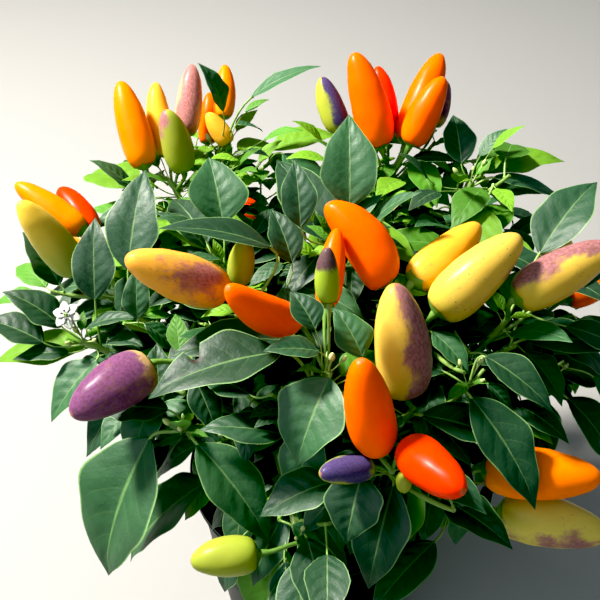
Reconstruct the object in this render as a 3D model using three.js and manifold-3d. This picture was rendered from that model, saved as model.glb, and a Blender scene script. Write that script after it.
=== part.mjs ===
// A potted ornamental chilli pepper plant: a thin black nursery pot with soil, a short green stem that
// forks into six boughs, and masses of leaves whose upright fruit stand in bunches above them.
// Millimetres, +Z up. The origin is the middle of the pot's flat underside, and -Y is the showy side.

import * as THREE from "three";
import { mergeVertices } from "three/addons/utils/BufferGeometryUtils.js";
import Module from "manifold-3d";

const wasm = await Module();
wasm.setup();

// Driving dimensions. Nodes stand this far apart.
const CLEARANCE = 0.3;
const POT = { foot: 48, mouth: 61, height: 113, wall: 1.4, floor: 2, rimDrop: 9, rimStep: 1.8, sides: 36 };
const DRAINS = { count: 6, ring: 38, radius: 4.5, sides: 8 };
const SOIL = { top: 100, dip: 2.5, flat: 12, gap: 0.5, sides: 24 };
const TRUNK = { flare: 8, foot: 4.8, neck: 4, fork: 142, lean: [3, 2], fall: 14, sides: 8, steps: 7 };
const BOUGH = { root: 3.3, tip: 2.4, knob: 3.4, bend: 0.55, sag: 0.12, sides: 7, steps: 6 };
// A stem's bend and its fork are shares of the way from its root to its heart
const STEM = { root: 1.9, tip: 1.3, bend: { level: 0.6, up: 0.25 }, fork: 0.35, sides: 4, steps: 5 };
const TWIG = { radius: 1, sides: 3 };
// Stalks of the leaves and of the fruit
const PETIOLE = { root: 0.4, tip: 0.6 };
const PEDICEL = { root: 0.75, tip: 1.4 };
const LEAF = { thick: 1.1, arch: 0.07, fold: 0.16, peak: 0.42 };
const FRUIT_SIDES = 6;
const GOLDEN_ANGLE = 137.5;
// The free room round a blade and round wood
const TEST = { blade: 0.9, wood: 0.45 };
// A blade or fruit alone keeps this much of its stalk
const STUB = 0.5;
// A stalk less in line with its blade than this, as a cosine, turns back under it
const TURNED_BACK = 0.05;
// Stalks spring this far apart, down the stem from its heart
const HEART_STEP = 2;
// Facets that stray less than this from flat are joined
const SMOOTHED = 0.05;

// Half outline of a leaf: share of its length, and share of its half width
const LEAF_OUTLINE = [[0.3, 1], [0.68, 0.66]];
// Outline of a fruit from its shoulder to its tip: share of its length, and share of its radius
const FRUIT_OUTLINE = [[0.01, 0.66], [0.3, 1], [0.68, 0.8], [0.93, 0.4]];

// Seeded leaves: where on the stem they start, their stalks, tilts and sizes, each as a lowest and a highest
const FILL = {
  place: [0.2, 0.98], reach: [7, 18], rise: [-10, 50],
  swing: 30, tilt: [-40, 18], length: [32, 54], width: 0.53,
};
// Seeded side twigs: the same, and how many leaves each ends in
const SIDE = { place: [0.15, 0.9], length: [14, 34], rise: [0, 45], leaves: 4, spread: 82, apart: 3 };
// A leaf without room tries again this often, each time smaller and lower
const RETRY = { turns: 5, smaller: 0.9, lower: 8 };
// A seeded leaf may stray this far into the space of the next mass, measured from places along the stems,
// and on the showy side it keeps this far clear of the sight of the fruit
const SPACE = { slack: 20, places: [0.4, 0.6, 0.8, 1], sight: [270, 40], margin: 2 };

// Boughs: height where each leaves the stem, then the bearing, reach and height of its tip
const BOUGHS = [
  { name: "bough_left", from: 128, bearing: 172, reach: 42, top: 163 },
  { name: "bough_right", from: 131, bearing: 2, reach: 42, top: 165 },
  { name: "bough_front_left", from: 136, bearing: 232, reach: 38, top: 162 },
  { name: "bough_front_right", from: 139, bearing: 300, reach: 38, top: 163 },
  { name: "bough_back_left", from: 142, bearing: 122, reach: 46, top: 172 },
  { name: "bough_back_right", from: 142, bearing: 58, reach: 46, top: 173 },
];

// Masses. A shoot's heart is the crowded point that its fruit and large leaves spring from.
// fruit: stalk length, bearing and rise, then the bearing and tilt of the fruit, its length and girth
// leaves: stalk length, bearing and rise, then the bearing and tilt of the blade, its length and width
// fill and twigs: how many seeded leaves its stem carries, and how many seeded side twigs
const MASSES = [
  { name: "foliage_back_left", bough: "bough_back_left", shoots: [
    { heart: [-73, 85, 222], fill: 12, twigs: 7,
      fruit: [[13, 180, 30, 115, 50, 43, 16], [13, 95, 25, 105, 45, 38, 13], [23, 62, 42, 82, 50, 35, 13],
        [10, 345, 35, 135, 72, 31, 15], [32, 58, 7, 85, 50, 26, 11]],
      leaves: [] },
    { heart: [-50, 100, 229], fill: 12, twigs: 6,
      fruit: [[16, 72, 55, 88, 40, 28, 11], [9, 330, 40, 150, 50, 18, 10]],
      leaves: [] }] },
  { name: "foliage_back", bough: "bough_back_right", shoots: [
    { heart: [34, 85, 230], fill: 12, twigs: 8,
      fruit: [[13, 210, 65, 127, 60, 45, 18], [29, 175, 35, 127, 55, 27, 13], [15, 95, 45, 103, 52, 33, 13],
        [13, 35, 42, 58, 47, 46, 17], [18, 325, 55, 40, 56, 34, 15], [31, 38, 21, 70, 40, 24, 10]],
      leaves: [] }] },
  { name: "foliage_back_right", bough: "bough_back_right", shoots: [
    { heart: [72, 70, 230], fill: 12, twigs: 8,
      fruit: [],
      leaves: [[10, 150, 50, 95, 30, 27, 16], [10, 350, 20, 0, -22, 42, 13]] }] },
  { name: "foliage_left", bough: "bough_left", shoots: [
    { heart: [-102, 35, 208], fill: 12, twigs: 7,
      fruit: [[16, 125, 55, 155, 25, 38, 13], [10, 200, -8, 187, 66, 43, 17], [16, 102, 25, 130, 22, 30, 14]],
      leaves: [[24, 175, -35, 140, 45, 30, 17]] }] },
  { name: "foliage_left_edge", bough: "bough_left", shoots: [
    { heart: [-106, 5, 188], fill: 12, twigs: 5, fruit: [],
      leaves: [[11, 160, 30, 165, 30, 30, 19], [17, 185, 0, 165, 15, 30, 18], [8, 215, -25, 185, -5, 25, 12],
        [11, 315, -25, 225, -35, 34, 19], [23, 20, 68, 90, 50, 36, 19], [11, 335, 65, 350, 20, 26, 10],
        [14, 340, 15, 330, 20, 21, 12]] }] },
  { name: "foliage_centre_left", bough: "bough_left", shoots: [
    { heart: [-32, -12, 220], fill: 12, twigs: 6,
      fruit: [[18, 222, 60, 198, 35, 44, 19], [12, 110, 60, 30, 79, 21, 11]],
      leaves: [[30, 35, 62, 192, 20, 46, 17], [28, 30, 35, 115, 35, 25, 15]] },
    { heart: [-79, 3, 203], fill: 12, twigs: 5, fruit: [],
      leaves: [[23, 115, 73, 80, 40, 45, 23], [13, 280, 40, 90, 55, 22, 12]] }] },
  { name: "foliage_left_front", bough: "bough_front_left", shoots: [
    { heart: [-58, -26, 206], fill: 12, twigs: 5,
      fruit: [[13, 208, 12, 222, -4, 37, 21]],
      leaves: [[18, 214, -52, 95, 40, 22, 13]] },
    { heart: [-57, -46, 186], fill: 12, twigs: 6, fruit: [],
      leaves: [[13, 190, -10, 230, -60, 68, 33], [30, 340, -70, 190, -50, 62, 27],
        [11, 310, 5, 320, -40, 50, 24]] }] },
  { name: "foliage_centre", bough: "bough_front_left", shoots: [
    { heart: [2, -48, 221], fill: 12, twigs: 7,
      fruit: [[30, 95, 78, 96, 73, 21, 9], [24, 125, 22, 212, 46, 41, 15], [26, 92, 30, 80, 37, 32, 11]],
      leaves: [[9, 270, 30, 240, -45, 35, 24], [13, 210, 70, 195, 15, 22, 12], [19, 145, 70, 125, 25, 18, 13],
        [20, 175, 25, 200, -5, 52, 26], [14, 22, 10, 125, 32, 22, 16]] }] },
  { name: "foliage_mid_back", bough: "bough_back_left", shoots: [
    { heart: [6, 14, 234], fill: 12, twigs: 6, fruit: [],
      leaves: [[22, 205, 42, 97, 45, 28, 15], [17, 50, 60, 90, 45, 40, 24]] },
    { heart: [-42, 12, 222], fill: 12, twigs: 6, fruit: [],
      leaves: [[20, 90, 50, 105, 35, 32, 25]] }] },
  { name: "foliage_centre_back", bough: "bough_right", shoots: [
    { heart: [26, -5, 217], fill: 12, twigs: 6,
      fruit: [[12, 0, 88, 146, 44, 41, 20]],
      leaves: [] }] },
  { name: "foliage_right_top", bough: "bough_right", shoots: [
    { heart: [43, -10, 211], fill: 12, twigs: 7,
      fruit: [[13, 304, 62, 25, 37, 45, 21], [19, 125, 60, 42, 13, 42, 17]],
      leaves: [[7, 290, 12, 310, -20, 23, 12]] }] },
  { name: "foliage_right", bough: "bough_right", shoots: [
    { heart: [79, -5, 210], fill: 12, twigs: 7,
      fruit: [[14, 278, 77, 18, 23, 45, 20]],
      leaves: [[30, 52, 47, 47, 22, 45, 23], [18, 330, -57, 315, -35, 28, 16]] },
    { heart: [102, -12, 178], fill: 12, twigs: 6, fruit: [],
      leaves: [[9, 330, -35, 325, -45, 42, 22]] }] },
  { name: "foliage_centre_right", bough: "bough_front_right", shoots: [
    { heart: [36, -45, 198], fill: 12, twigs: 6,
      fruit: [[8, 180, 64, 113, 70, 47, 22]],
      leaves: [[6, 297, 10, 352, -20, 44, 20]] }] },
  { name: "foliage_front", bough: "bough_front_right", shoots: [
    { heart: [25, -78, 199], fill: 12, twigs: 6,
      fruit: [[11, 153, 53, 159, 79, 43, 18], [14, 0, 70, 299, 17, 33, 17], [9, 190, 25, 205, 18, 22, 11],
        [8, 300, -10, 250, 70, 14, 6]],
      leaves: [[11, 180, -5, 250, -50, 27, 22], [24, 170, -27, 200, -15, 31, 20],
        [13, 65, -71, 248, -53, 43, 22]] }] },
  { name: "foliage_right_front", bough: "bough_front_right", shoots: [
    { heart: [59, -36, 202], fill: 12, twigs: 6, fruit: [],
      leaves: [[14, 30, 65, 325, -22, 34, 18], [9, 265, 10, 308, -36, 50, 24]] },
    { heart: [60, -52, 158], fill: 12, twigs: 6,
      fruit: [[13, 0, 58, 348, 7, 46, 22], [19, 338, -32, 345, 0, 45, 22]],
      leaves: [[18, 225, 20, 320, -5, 34, 18], [27, 230, -45, 220, -25, 40, 20]] }] },
  { name: "foliage_front_low", bough: "bough_front_left", shoots: [
    { heart: [-9, -80, 156], fill: 12, twigs: 7,
      fruit: [[18, 200, 8, 190, 4, 26, 16]],
      leaves: [] }] },
  { name: "foliage_right_back", bough: "bough_right", shoots: [
    { heart: [112, 45, 170], fill: 12, twigs: 8,
      fruit: [[12, 20, 30, 20, 15, 36, 16], [15, 80, 20, 65, 5, 40, 18]],
      leaves: [] }] },
  { name: "foliage_rear_left", bough: "bough_back_left", shoots: [
    { heart: [-42, 112, 158], fill: 12, twigs: 8,
      fruit: [[14, 80, 20, 90, -5, 42, 18], [14, 140, 10, 135, 5, 36, 16]],
      leaves: [] },
    { heart: [-98, 76, 168], fill: 12, twigs: 7,
      fruit: [[12, 140, 30, 150, 10, 40, 17]],
      leaves: [] }] },
  { name: "foliage_rear_right", bough: "bough_back_right", shoots: [
    { heart: [42, 114, 164], fill: 12, twigs: 8,
      fruit: [[14, 60, 20, 65, 10, 42, 19], [14, 115, 15, 120, 5, 38, 16]],
      leaves: [] },
    { heart: [88, 88, 176], fill: 12, twigs: 7, fruit: [], leaves: [] }] },
];

const radians = (degrees) => (degrees * Math.PI) / 180;
const UP = new THREE.Vector3(0, 0, 1);

// A repeatable number from 0 to 1 for each set of whole-number keys
function chance(...keys) {
  const mixed = keys.reduce((sum, key, place) => sum + (key + 1) * (12.9898 + 7.233 * place), 0);
  const wave = Math.sin(mixed) * 4375.5453;
  return wave - Math.floor(wave);
}

const between = (low, high, share) => low + (high - low) * share;

// Unit vector from a bearing (0 is +X, 90 is +Y) and a rise above level
function heading(bearing, rise) {
  const level = Math.cos(radians(rise));
  return new THREE.Vector3(
    level * Math.cos(radians(bearing)), level * Math.sin(radians(bearing)), Math.sin(radians(rise)));
}

// Closed solids
function solidFrom(points, faces) {
  const vertProperties = new Float32Array(points.flatMap((p) => p.toArray()));
  const triVerts = new Uint32Array(faces.flat());
  return new wasm.Manifold(new wasm.Mesh({ numProp: 3, vertProperties, triVerts }));
}

function solidOf(geometry) {
  const bare = geometry.clone();
  bare.deleteAttribute("normal");
  bare.deleteAttribute("uv");
  const merged = mergeVertices(bare, 1e-3);
  const index = merged.index.array;
  const faces = [];
  for (let i = 0; i < index.length; i += 3) {
    const [a, b, c] = [index[i], index[i + 1], index[i + 2]];
    if (a !== b && b !== c && c !== a) faces.push([a, b, c]);
  }
  const { position } = merged.attributes;
  const points = Array.from(
    { length: position.count }, (_, i) => new THREE.Vector3().fromBufferAttribute(position, i));
  return solidFrom(points, faces);
}

const join = (solids) => solids.reduce((whole, next) => whole.add(next));

const largest = (solid) => solid.decompose().reduce((a, b) => (b.volume() > a.volume() ? b : a));

// Solid of revolution about Z from radius and height pairs
function turned(profile, sides) {
  const points = profile.map(([radius, height]) => new THREE.Vector2(radius, height));
  return solidOf(new THREE.LatheGeometry(points, sides).rotateX(Math.PI / 2));
}

// Limb: rings of a round section along a curve, with the radius given at each share of its length
function limb(curve, radiusAt, sides, steps) {
  const frames = curve.computeFrenetFrames(steps, false);
  const points = [];
  const faces = [];
  for (let i = 0; i <= steps; i++) {
    const centre = curve.getPointAt(i / steps);
    for (let j = 0; j < sides; j++) {
      const turn = (2 * Math.PI * j) / sides;
      points.push(centre.clone()
        .addScaledVector(frames.normals[i], radiusAt(i / steps) * Math.cos(turn))
        .addScaledVector(frames.binormals[i], radiusAt(i / steps) * Math.sin(turn)));
      const [a, b] = [i * sides + j, i * sides + ((j + 1) % sides)];
      if (i < steps) faces.push([a, b, b + sides], [a, b + sides, a + sides]);
    }
  }
  const last = steps * sides;
  for (let j = 1; j < sides - 1; j++) faces.push([0, j + 1, j], [last, last + j, last + j + 1]);
  return solidFrom(points, faces);
}

const rod = (from, to, radius, sides) => limb(new THREE.LineCurve3(from, to), () => radius, sides, 1);

// Stem's path: it leaves level and turns up towards its heart
function stemPath(from, heart) {
  const { level, up } = STEM.bend;
  const bend = new THREE.Vector3(
    between(from.x, heart.x, level), between(from.y, heart.y, level), between(from.z, heart.z, up));
  return new THREE.QuadraticBezierCurve3(from, bend, heart);
}

// Leaf: where its stalk and blade start, the way it points, its level side line and the way its face looks.
// Stalk and blade are laid out from the heart, and the stalk's own root may sit lower on the stem.
function leafAt(heart, [reach, bearing, rise, aim, tilt, length, width], from = heart) {
  const base = heart.clone().addScaledVector(heading(bearing, rise), reach);
  const along = heading(aim, tilt);
  const across = new THREE.Vector3().crossVectors(along, UP).normalize();
  const face = new THREE.Vector3().crossVectors(across, along);
  return { from, base, along, across, face, length, width };
}

const ribPoint = ({ base, along, face, length }, share, lift = 0) =>
  base.clone().addScaledVector(along, length * share)
    .addScaledVector(face, length * LEAF.arch * 4 * share * (1 - share) + lift);

// Outline of the blade, from its base round by the right side and the tip, grown by some margin
function leafOutline(leaf, margin) {
  const side = (sign) => LEAF_OUTLINE.map(([share, wide]) =>
    ribPoint(leaf, share, LEAF.fold * wide * (leaf.width / 2))
      .addScaledVector(leaf.across, sign * (wide * (leaf.width / 2) + margin)));
  const base = ribPoint(leaf, 0).addScaledVector(leaf.along, -margin);
  const tip = ribPoint(leaf, 1).addScaledVector(leaf.along, margin);
  return [base, ...side(1), tip, ...side(-1).reverse()];
}

// Straight leaf: a three-sided stalk that opens into a thin lens, thickest on its rib
function straightLeaf(leaf) {
  const { from, base, across, face } = leaf;
  const ring = (centre, radius) => [30, 150, 270].map((turn) =>
    centre.clone().addScaledVector(across, radius * Math.cos(radians(turn)))
      .addScaledVector(face, radius * Math.sin(radians(turn))));
  const [, ...outline] = leafOutline(leaf, 0);
  const points = [...ring(from, PETIOLE.root), ...ring(base, PETIOLE.tip), ...outline,
    ribPoint(leaf, LEAF.peak, LEAF.thick / 2), ribPoint(leaf, LEAF.peak, -LEAF.thick / 2)];
  const [right, left, top, under] = [6, 5 + outline.length, points.length - 2, points.length - 1];
  const stalk = [[0, 1, 2], [0, 4, 1], [0, 3, 4], [1, 5, 2], [1, 4, 5], [2, 3, 0], [2, 5, 3]];
  const neck = [[3, top, 4], [4, top, left], [3, right, top], [5, left, under], [5, under, right],
    [4, left, 5], [3, 5, right]];
  const lens = outline.slice(1).flatMap((_, i) => {
    const [here, next] = [right + i, right + i + 1];
    return [[top, here, next], [under, next, here]];
  });
  return solidFrom(points, [...stalk, ...neck, ...lens]);
}

// Leaf: where the stalk turns back under its blade, the blade on its stub is joined to a stalk of its own
function leafSolid(leaf) {
  const { from, base, along } = leaf;
  if (base.clone().sub(from).normalize().dot(along) > TURNED_BACK) return straightLeaf(leaf);
  const stub = base.clone().addScaledVector(along, -STUB);
  return straightLeaf({ ...leaf, from: stub }).add(rod(from, base, PETIOLE.tip, TWIG.sides));
}

// The room that a blade needs: the same outline, grown and thicker
function bladeRoom(leaf) {
  const outline = leafOutline(leaf, TEST.blade);
  const n = outline.length;
  const shift = (points, lift) => points.map((p) => p.clone().addScaledVector(leaf.face, lift));
  const points = [...shift(outline, TEST.blade), ...shift(outline, -TEST.blade),
    ribPoint(leaf, LEAF.peak, TEST.blade), ribPoint(leaf, LEAF.peak, -TEST.blade)];
  const faces = outline.flatMap((_, i) => {
    const next = (i + 1) % n;
    return [[2 * n, i, next], [2 * n + 1, n + next, n + i], [i, n + i, n + next], [i, n + next, next]];
  });
  return solidFrom(points, faces);
}

// The room that its stalk needs from some share of the way out
const stalkRoom = ({ from, base }, share) =>
  rod(from.clone().lerp(base, share), base, PETIOLE.tip + TEST.wood, TWIG.sides);

// Fruit: an outline turned about its own axis, laid along the way it points
function fruitAt(heart, [reach, bearing, rise, aim, tilt, length, girth], from = heart) {
  const seat = heart.clone().addScaledVector(heading(bearing, rise), reach);
  return { from, seat, along: heading(aim, tilt), length, radius: girth / 2 };
}

// Fruit on its stalk: a three-sided stalk that opens into a round body with six sides
function fruitSolid({ from, seat, along, length, radius }) {
  const level = Math.abs(along.z) > 0.9 ? new THREE.Vector3(1, 0, 0) : UP;
  const across = new THREE.Vector3().crossVectors(along, level).normalize();
  const over = new THREE.Vector3().crossVectors(across, along);
  const ring = (centre, wide, sides) => Array.from({ length: sides }, (_, i) => {
    const turn = (2 * Math.PI * i) / sides;
    return centre.clone()
      .addScaledVector(across, wide * Math.cos(turn))
      .addScaledVector(over, wide * Math.sin(turn));
  });
  const body = FRUIT_OUTLINE.map(([share, wide]) =>
    ring(seat.clone().addScaledVector(along, share * length), wide * radius, FRUIT_SIDES));
  const points = [...ring(from, PEDICEL.root, 3), ...ring(seat, PEDICEL.tip, 3), ...body.flat(),
    seat.clone().addScaledVector(along, length)];
  const faces = [[0, 1, 2]];
  for (let i = 0; i < 3; i++) {
    const next = (i + 1) % 3;
    const [here, middle, there] = [6 + 2 * i, 7 + 2 * i, 6 + ((2 * i + 2) % FRUIT_SIDES)];
    faces.push([i, 3 + next, next], [i, 3 + i, 3 + next]);
    faces.push([3 + i, middle, 3 + next], [3 + i, here, middle], [3 + next, middle, there]);
  }
  const last = 6 + (body.length - 1) * FRUIT_SIDES;
  for (let i = 0; i < FRUIT_SIDES; i++) {
    const next = (i + 1) % FRUIT_SIDES;
    for (let r = 6; r < last; r += FRUIT_SIDES) {
      const above = r + FRUIT_SIDES;
      faces.push([r + i, above + next, r + next], [r + i, above + i, above + next]);
    }
    faces.push([last + i, points.length - 1, last + next]);
  }
  return solidFrom(points, faces);
}

// Register of the room that is already taken: kinds are wood, blade and fruit
const taken = [];

const boxesMeet = (a, b) => a.min.every((low, axis) => low <= b.max[axis] && b.min[axis] <= a.max[axis]);

function take(solid, kind, mass) {
  taken.push({ solid, kind, mass, box: solid.boundingBox() });
}

function isFree(solid, mass, ownKinds) {
  const box = solid.boundingBox();
  return !taken.some((other) => {
    if (other.mass === mass && !ownKinds.includes(other.kind)) return false;
    if (!boxesMeet(box, other.box)) return false;
    const shared = solid.intersect(other.solid);
    const meets = !shared.isEmpty();
    shared.delete();
    return meets;
  });
}

const potRadius = (height) => between(POT.foot, POT.mouth, height / POT.height);

// Pot: a tapering thin wall with a stepped, ridged rim and a floor with drain holes
function potSolid() {
  const { foot, mouth, height, wall, floor, rimDrop, rimStep, sides } = POT;
  const low = height - rimDrop;
  const rim = mouth + rimStep;
  const shell = turned([
    [0, 0], [foot - 2, 0], [potRadius(2), 2],
    [potRadius(low), low], [potRadius(low) + rimStep, low + 0.6],
    [rim, height - 5], [rim - 0.8, height - 4.2], [rim - 0.8, height - 3.4],
    [rim + 0.4, height - 2.6], [rim + 0.4, height - 0.6], [rim - 0.4, height],
    [mouth - wall + 0.4, height], [mouth - wall, height - 0.8],
    [potRadius(floor) - wall, floor], [0, floor],
  ], sides);
  const holes = Array.from({ length: DRAINS.count }, (_, i) => {
    const centre = heading((360 * i) / DRAINS.count, 0).multiplyScalar(DRAINS.ring);
    return rod(centre.clone().setZ(-1), centre.clone().setZ(floor + 1), DRAINS.radius, DRAINS.sides);
  });
  return shell.subtract(join(holes));
}

// Soil: it fills the pot from the floor up, flat round the stem and lower at the wall
function soilSolid() {
  const inner = (height) => potRadius(height) - POT.wall - SOIL.gap;
  const [low, top] = [POT.floor + CLEARANCE, SOIL.top];
  const edge = top - SOIL.dip;
  return turned([
    [0, low], [inner(low), low], [inner(edge), edge], [inner(edge) * 0.7, top - SOIL.dip * 0.25],
    [SOIL.flat, top], [0, top]], SOIL.sides);
}

// Trunk: it stands on the soil with a flat cut and a flared foot, and leans a little to its fork
const trunkFoot = new THREE.Vector3(0, 0, SOIL.top + CLEARANCE);
const trunkTop = new THREE.Vector3(TRUNK.lean[0], TRUNK.lean[1], TRUNK.fork);

function trunkPoint(height) {
  return trunkFoot.clone().lerp(trunkTop, (height - trunkFoot.z) / (trunkTop.z - trunkFoot.z));
}

function trunkSolid(swell = 0) {
  const top = trunkPoint(TRUNK.fork + swell);
  const flareAt = (share) => (TRUNK.flare - TRUNK.foot) * Math.exp(-TRUNK.fall * share);
  const radiusAt = (share) => between(TRUNK.foot, TRUNK.neck, share) + flareAt(share) + swell;
  const body = limb(new THREE.LineCurve3(trunkFoot, top), radiusAt, TRUNK.sides, TRUNK.steps);
  if (swell) return body;
  const [wide, cut] = [2 * TRUNK.flare, trunkFoot.z];
  const underside = turned([[0, cut - wide], [wide, cut - wide], [wide, cut], [0, cut]], TRUNK.sides);
  return body.subtract(underside);
}

// Boughs: each leaves the trunk low and level and turns up, with a small swollen joint at its tip
function boughPath({ from, bearing, reach, top }) {
  const start = trunkPoint(from);
  const end = heading(bearing, 0).multiplyScalar(reach).add(new THREE.Vector3(start.x, start.y, top));
  const bend = start.clone().lerp(end, BOUGH.bend).addScaledVector(UP, -BOUGH.sag * reach);
  return new THREE.QuadraticBezierCurve3(start, bend, end);
}

function boughSolid(bough, swell = 0) {
  const knobAt = (share) => (BOUGH.knob - BOUGH.tip) * Math.max(0, 8 * share - 7);
  const radiusAt = (share) => between(BOUGH.root, BOUGH.tip, share) + knobAt(share) + swell;
  const path = boughPath(bough);
  const body = limb(path, radiusAt, BOUGH.sides, BOUGH.steps);
  if (!swell) return body;
  const end = path.getPoint(1);
  const beyond = end.clone().addScaledVector(path.getTangent(1), swell);
  return body.add(rod(end, beyond, BOUGH.knob + swell, BOUGH.sides));
}

const bark = new THREE.MeshStandardMaterial({ color: 0x5d7034, roughness: 0.6 });
const foliage = new THREE.MeshStandardMaterial({ color: 0x2c6a1e, roughness: 0.45 });
const plastic = new THREE.MeshStandardMaterial({ color: 0x141414, roughness: 0.35 });
const compost = new THREE.MeshStandardMaterial({ color: 0x2d2019, roughness: 1 });

const plant = new THREE.Group();

function addNode(name, solid, material) {
  const { vertProperties, triVerts, numProp } = solid.getMesh();
  const count = vertProperties.length / numProp;
  const position = new Float32Array(count * 3);
  for (let i = 0; i < count; i++) position.set(vertProperties.subarray(i * numProp, i * numProp + 3), i * 3);
  const geometry = new THREE.BufferGeometry();
  geometry.setAttribute("position", new THREE.BufferAttribute(position, 3));
  geometry.setIndex(new THREE.BufferAttribute(new Uint32Array(triVerts), 1));
  geometry.computeVertexNormals();
  const mesh = new THREE.Mesh(geometry, material);
  mesh.name = name;
  plant.add(mesh);
}

// Limbs first: each bough is cut clear of the trunk and of the boughs before it
const pot = potSolid();
const soil = soilSolid();
const trunk = trunkSolid();
addNode("pot", pot, plastic);
addNode("soil", soil, compost);
addNode("trunk", trunk, bark);
take(pot, "wood", "pot");
take(soil, "wood", "soil");
let limbsRoom = trunkSolid(CLEARANCE);
for (const bough of BOUGHS) {
  addNode(bough.name, largest(boughSolid(bough).subtract(limbsRoom)), bark);
  limbsRoom = limbsRoom.add(boughSolid(bough, CLEARANCE));
}
take(limbsRoom, "wood", "limbs");

// Stems next: a mass's first shoot starts at its bough's tip, and its other shoots fork from the first
let stemsRoom = limbsRoom;
const grown = MASSES.map((mass, m) => {
  const bough = BOUGHS.find(({ name }) => name === mass.bough);
  const boughTip = boughPath(bough).getPoint(1);
  const main = stemPath(boughTip, new THREE.Vector3(...mass.shoots[0].heart));
  const paths = mass.shoots.map(({ heart }, s) =>
    s ? stemPath(main.getPointAt(STEM.fork), new THREE.Vector3(...heart)) : main);
  const stem = (swell) => join(paths.map((path) =>
    limb(path, (share) => between(STEM.root, STEM.tip, share) + swell, STEM.sides, STEM.steps)));
  const body = largest(stem(0).subtract(stemsRoom));
  stemsRoom = stemsRoom.add(stem(CLEARANCE));
  take(body, "wood", m);
  return { mass, m, paths, pieces: [body] };
});

// What the showy side keeps in view: the middle line and half width of each fruit and large leaf
const shown = [];
const sight = heading(...SPACE.sight);

function hides(leaf) {
  const samples = [ribPoint(leaf, 0.3), ribPoint(leaf, 0.6), ...leafOutline(leaf, 0)];
  return shown.some(({ start, end, wide }) => samples.some((sample) =>
    [0.1, 0.35, 0.6, 0.85].some((share) => {
      const away = sample.clone().sub(start.clone().lerp(end, share));
      const depth = away.dot(sight);
      return depth > 0 && away.addScaledVector(sight, -depth).length() < wide + SPACE.margin;
    })));
}

const stations = grown.flatMap(({ m, paths }) =>
  paths.flatMap((path) => SPACE.places.map((share) => ({ m, place: path.getPoint(share) }))));

function isOwnSpace(leaf, m) {
  const middle = ribPoint(leaf, 0.6);
  const nearest = (own) => Math.min(...stations.filter((station) => (station.m === m) === own)
    .map(({ place }) => place.distanceTo(middle)));
  return nearest(true) < nearest(false) + SPACE.slack;
}

// A leaf is kept where its blade and stalk are free of everything that already grows there.
// Near its root the stalk may only touch its own mass.
function tryLeaf(plantlet, leaf) {
  const { m, pieces } = plantlet;
  if (!isFree(bladeRoom(leaf), m, ["blade", "fruit", "wood"])) return false;
  if (!isFree(stalkRoom(leaf, 0.5), m, ["blade", "fruit"])) return false;
  if (!isFree(stalkRoom(leaf, 0), m, [])) return false;
  pieces.push(leafSolid(leaf));
  take(leafSolid({ ...leaf, from: leaf.base.clone().addScaledVector(leaf.along, -STUB) }), "blade", m);
  take(rod(leaf.from, leaf.base, PETIOLE.tip, TWIG.sides), "wood", m);
  return true;
}

// Fruit, and then the large leaves, in the order of the table
const eachShoot = (work) => grown.forEach((plantlet) =>
  plantlet.mass.shoots.forEach((shoot, s) => work(plantlet, shoot, plantlet.paths[s])));

// A stalk's root, on the middle line of the stem's straight piece there
function rootBelow(path, place) {
  const step = STEM.steps * (1 - (HEART_STEP * (place + 0.5)) / path.getLength());
  const [low, high] = [Math.floor(step), Math.ceil(step)].map((whole) => path.getPointAt(whole / STEM.steps));
  return low.lerp(high, step % 1);
}

eachShoot(({ m, pieces }, shoot, path) => shoot.fruit.forEach((row, k) => {
  const fruit = fruitAt(path.getPoint(1), row, rootBelow(path, k));
  pieces.push(fruitSolid(fruit));
  take(fruitSolid({ ...fruit, from: fruit.seat.clone().addScaledVector(fruit.along, -STUB) }), "fruit", m);
  take(rod(fruit.from, fruit.seat, PEDICEL.tip, TWIG.sides), "wood", m);
  const end = fruit.seat.clone().addScaledVector(fruit.along, fruit.length);
  shown.push({ start: fruit.seat, end, wide: fruit.radius });
}));

eachShoot((plantlet, shoot, path) => shoot.leaves.forEach((row, k) => {
  const leaf = leafAt(path.getPoint(1), row, rootBelow(path, shoot.fruit.length + k));
  if (tryLeaf(plantlet, leaf)) shown.push({ start: leaf.base, end: ribPoint(leaf, 1), wide: leaf.width / 3 });
}));

// Seeded rows for the rest: leaves round the stem, and side twigs that end in a ring of leaves
const pick = ([low, high], ...keys) => between(low, high, chance(...keys));

function seededLeaf(bearing, ...keys) {
  const length = pick(FILL.length, ...keys, 3);
  const aim = bearing + FILL.swing * (chance(...keys, 4) - 0.5);
  return [pick(FILL.reach, ...keys, 0), bearing, pick(FILL.rise, ...keys, 1),
    aim, pick(FILL.tilt, ...keys, 2), length, FILL.width * length];
}

function seededWork({ m, mass, paths }) {
  return mass.shoots.flatMap((shoot, s) => {
    const path = paths[s];
    const [root, heart] = [path.getPoint(0), path.getPoint(1)];
    const outward = (Math.atan2(heart.y - root.y, heart.x - root.x) * 180) / Math.PI;
    const leaves = Array.from({ length: shoot.fill }, (_, k) => {
      const place = between(...FILL.place, (k + 0.5) / shoot.fill);
      return { places: [path.getPointAt(place)], rows: [seededLeaf(outward + GOLDEN_ANGLE * k, m, s, k)] };
    });
    const twigs = Array.from({ length: shoot.twigs }, (_, k) => {
      const from = path.getPointAt(between(...SIDE.place, (k + 0.5) / shoot.twigs));
      const bearing = outward + GOLDEN_ANGLE * (k + 0.5);
      const end = from.clone().addScaledVector(
        heading(bearing, pick(SIDE.rise, m, s, k, 7)), pick(SIDE.length, m, s, k, 8));
      const rows = Array.from({ length: SIDE.leaves }, (_, n) =>
        seededLeaf(bearing + SIDE.spread * (n - (SIDE.leaves - 1) / 2), m, s, k, n, 9));
      const places = rows.map((_, n) => from.clone().lerp(end, 1 - (n * SIDE.apart) / from.distanceTo(end)));
      return { twig: [from, end], places, rows };
    });
    return [...twigs, ...leaves];
  });
}

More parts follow.
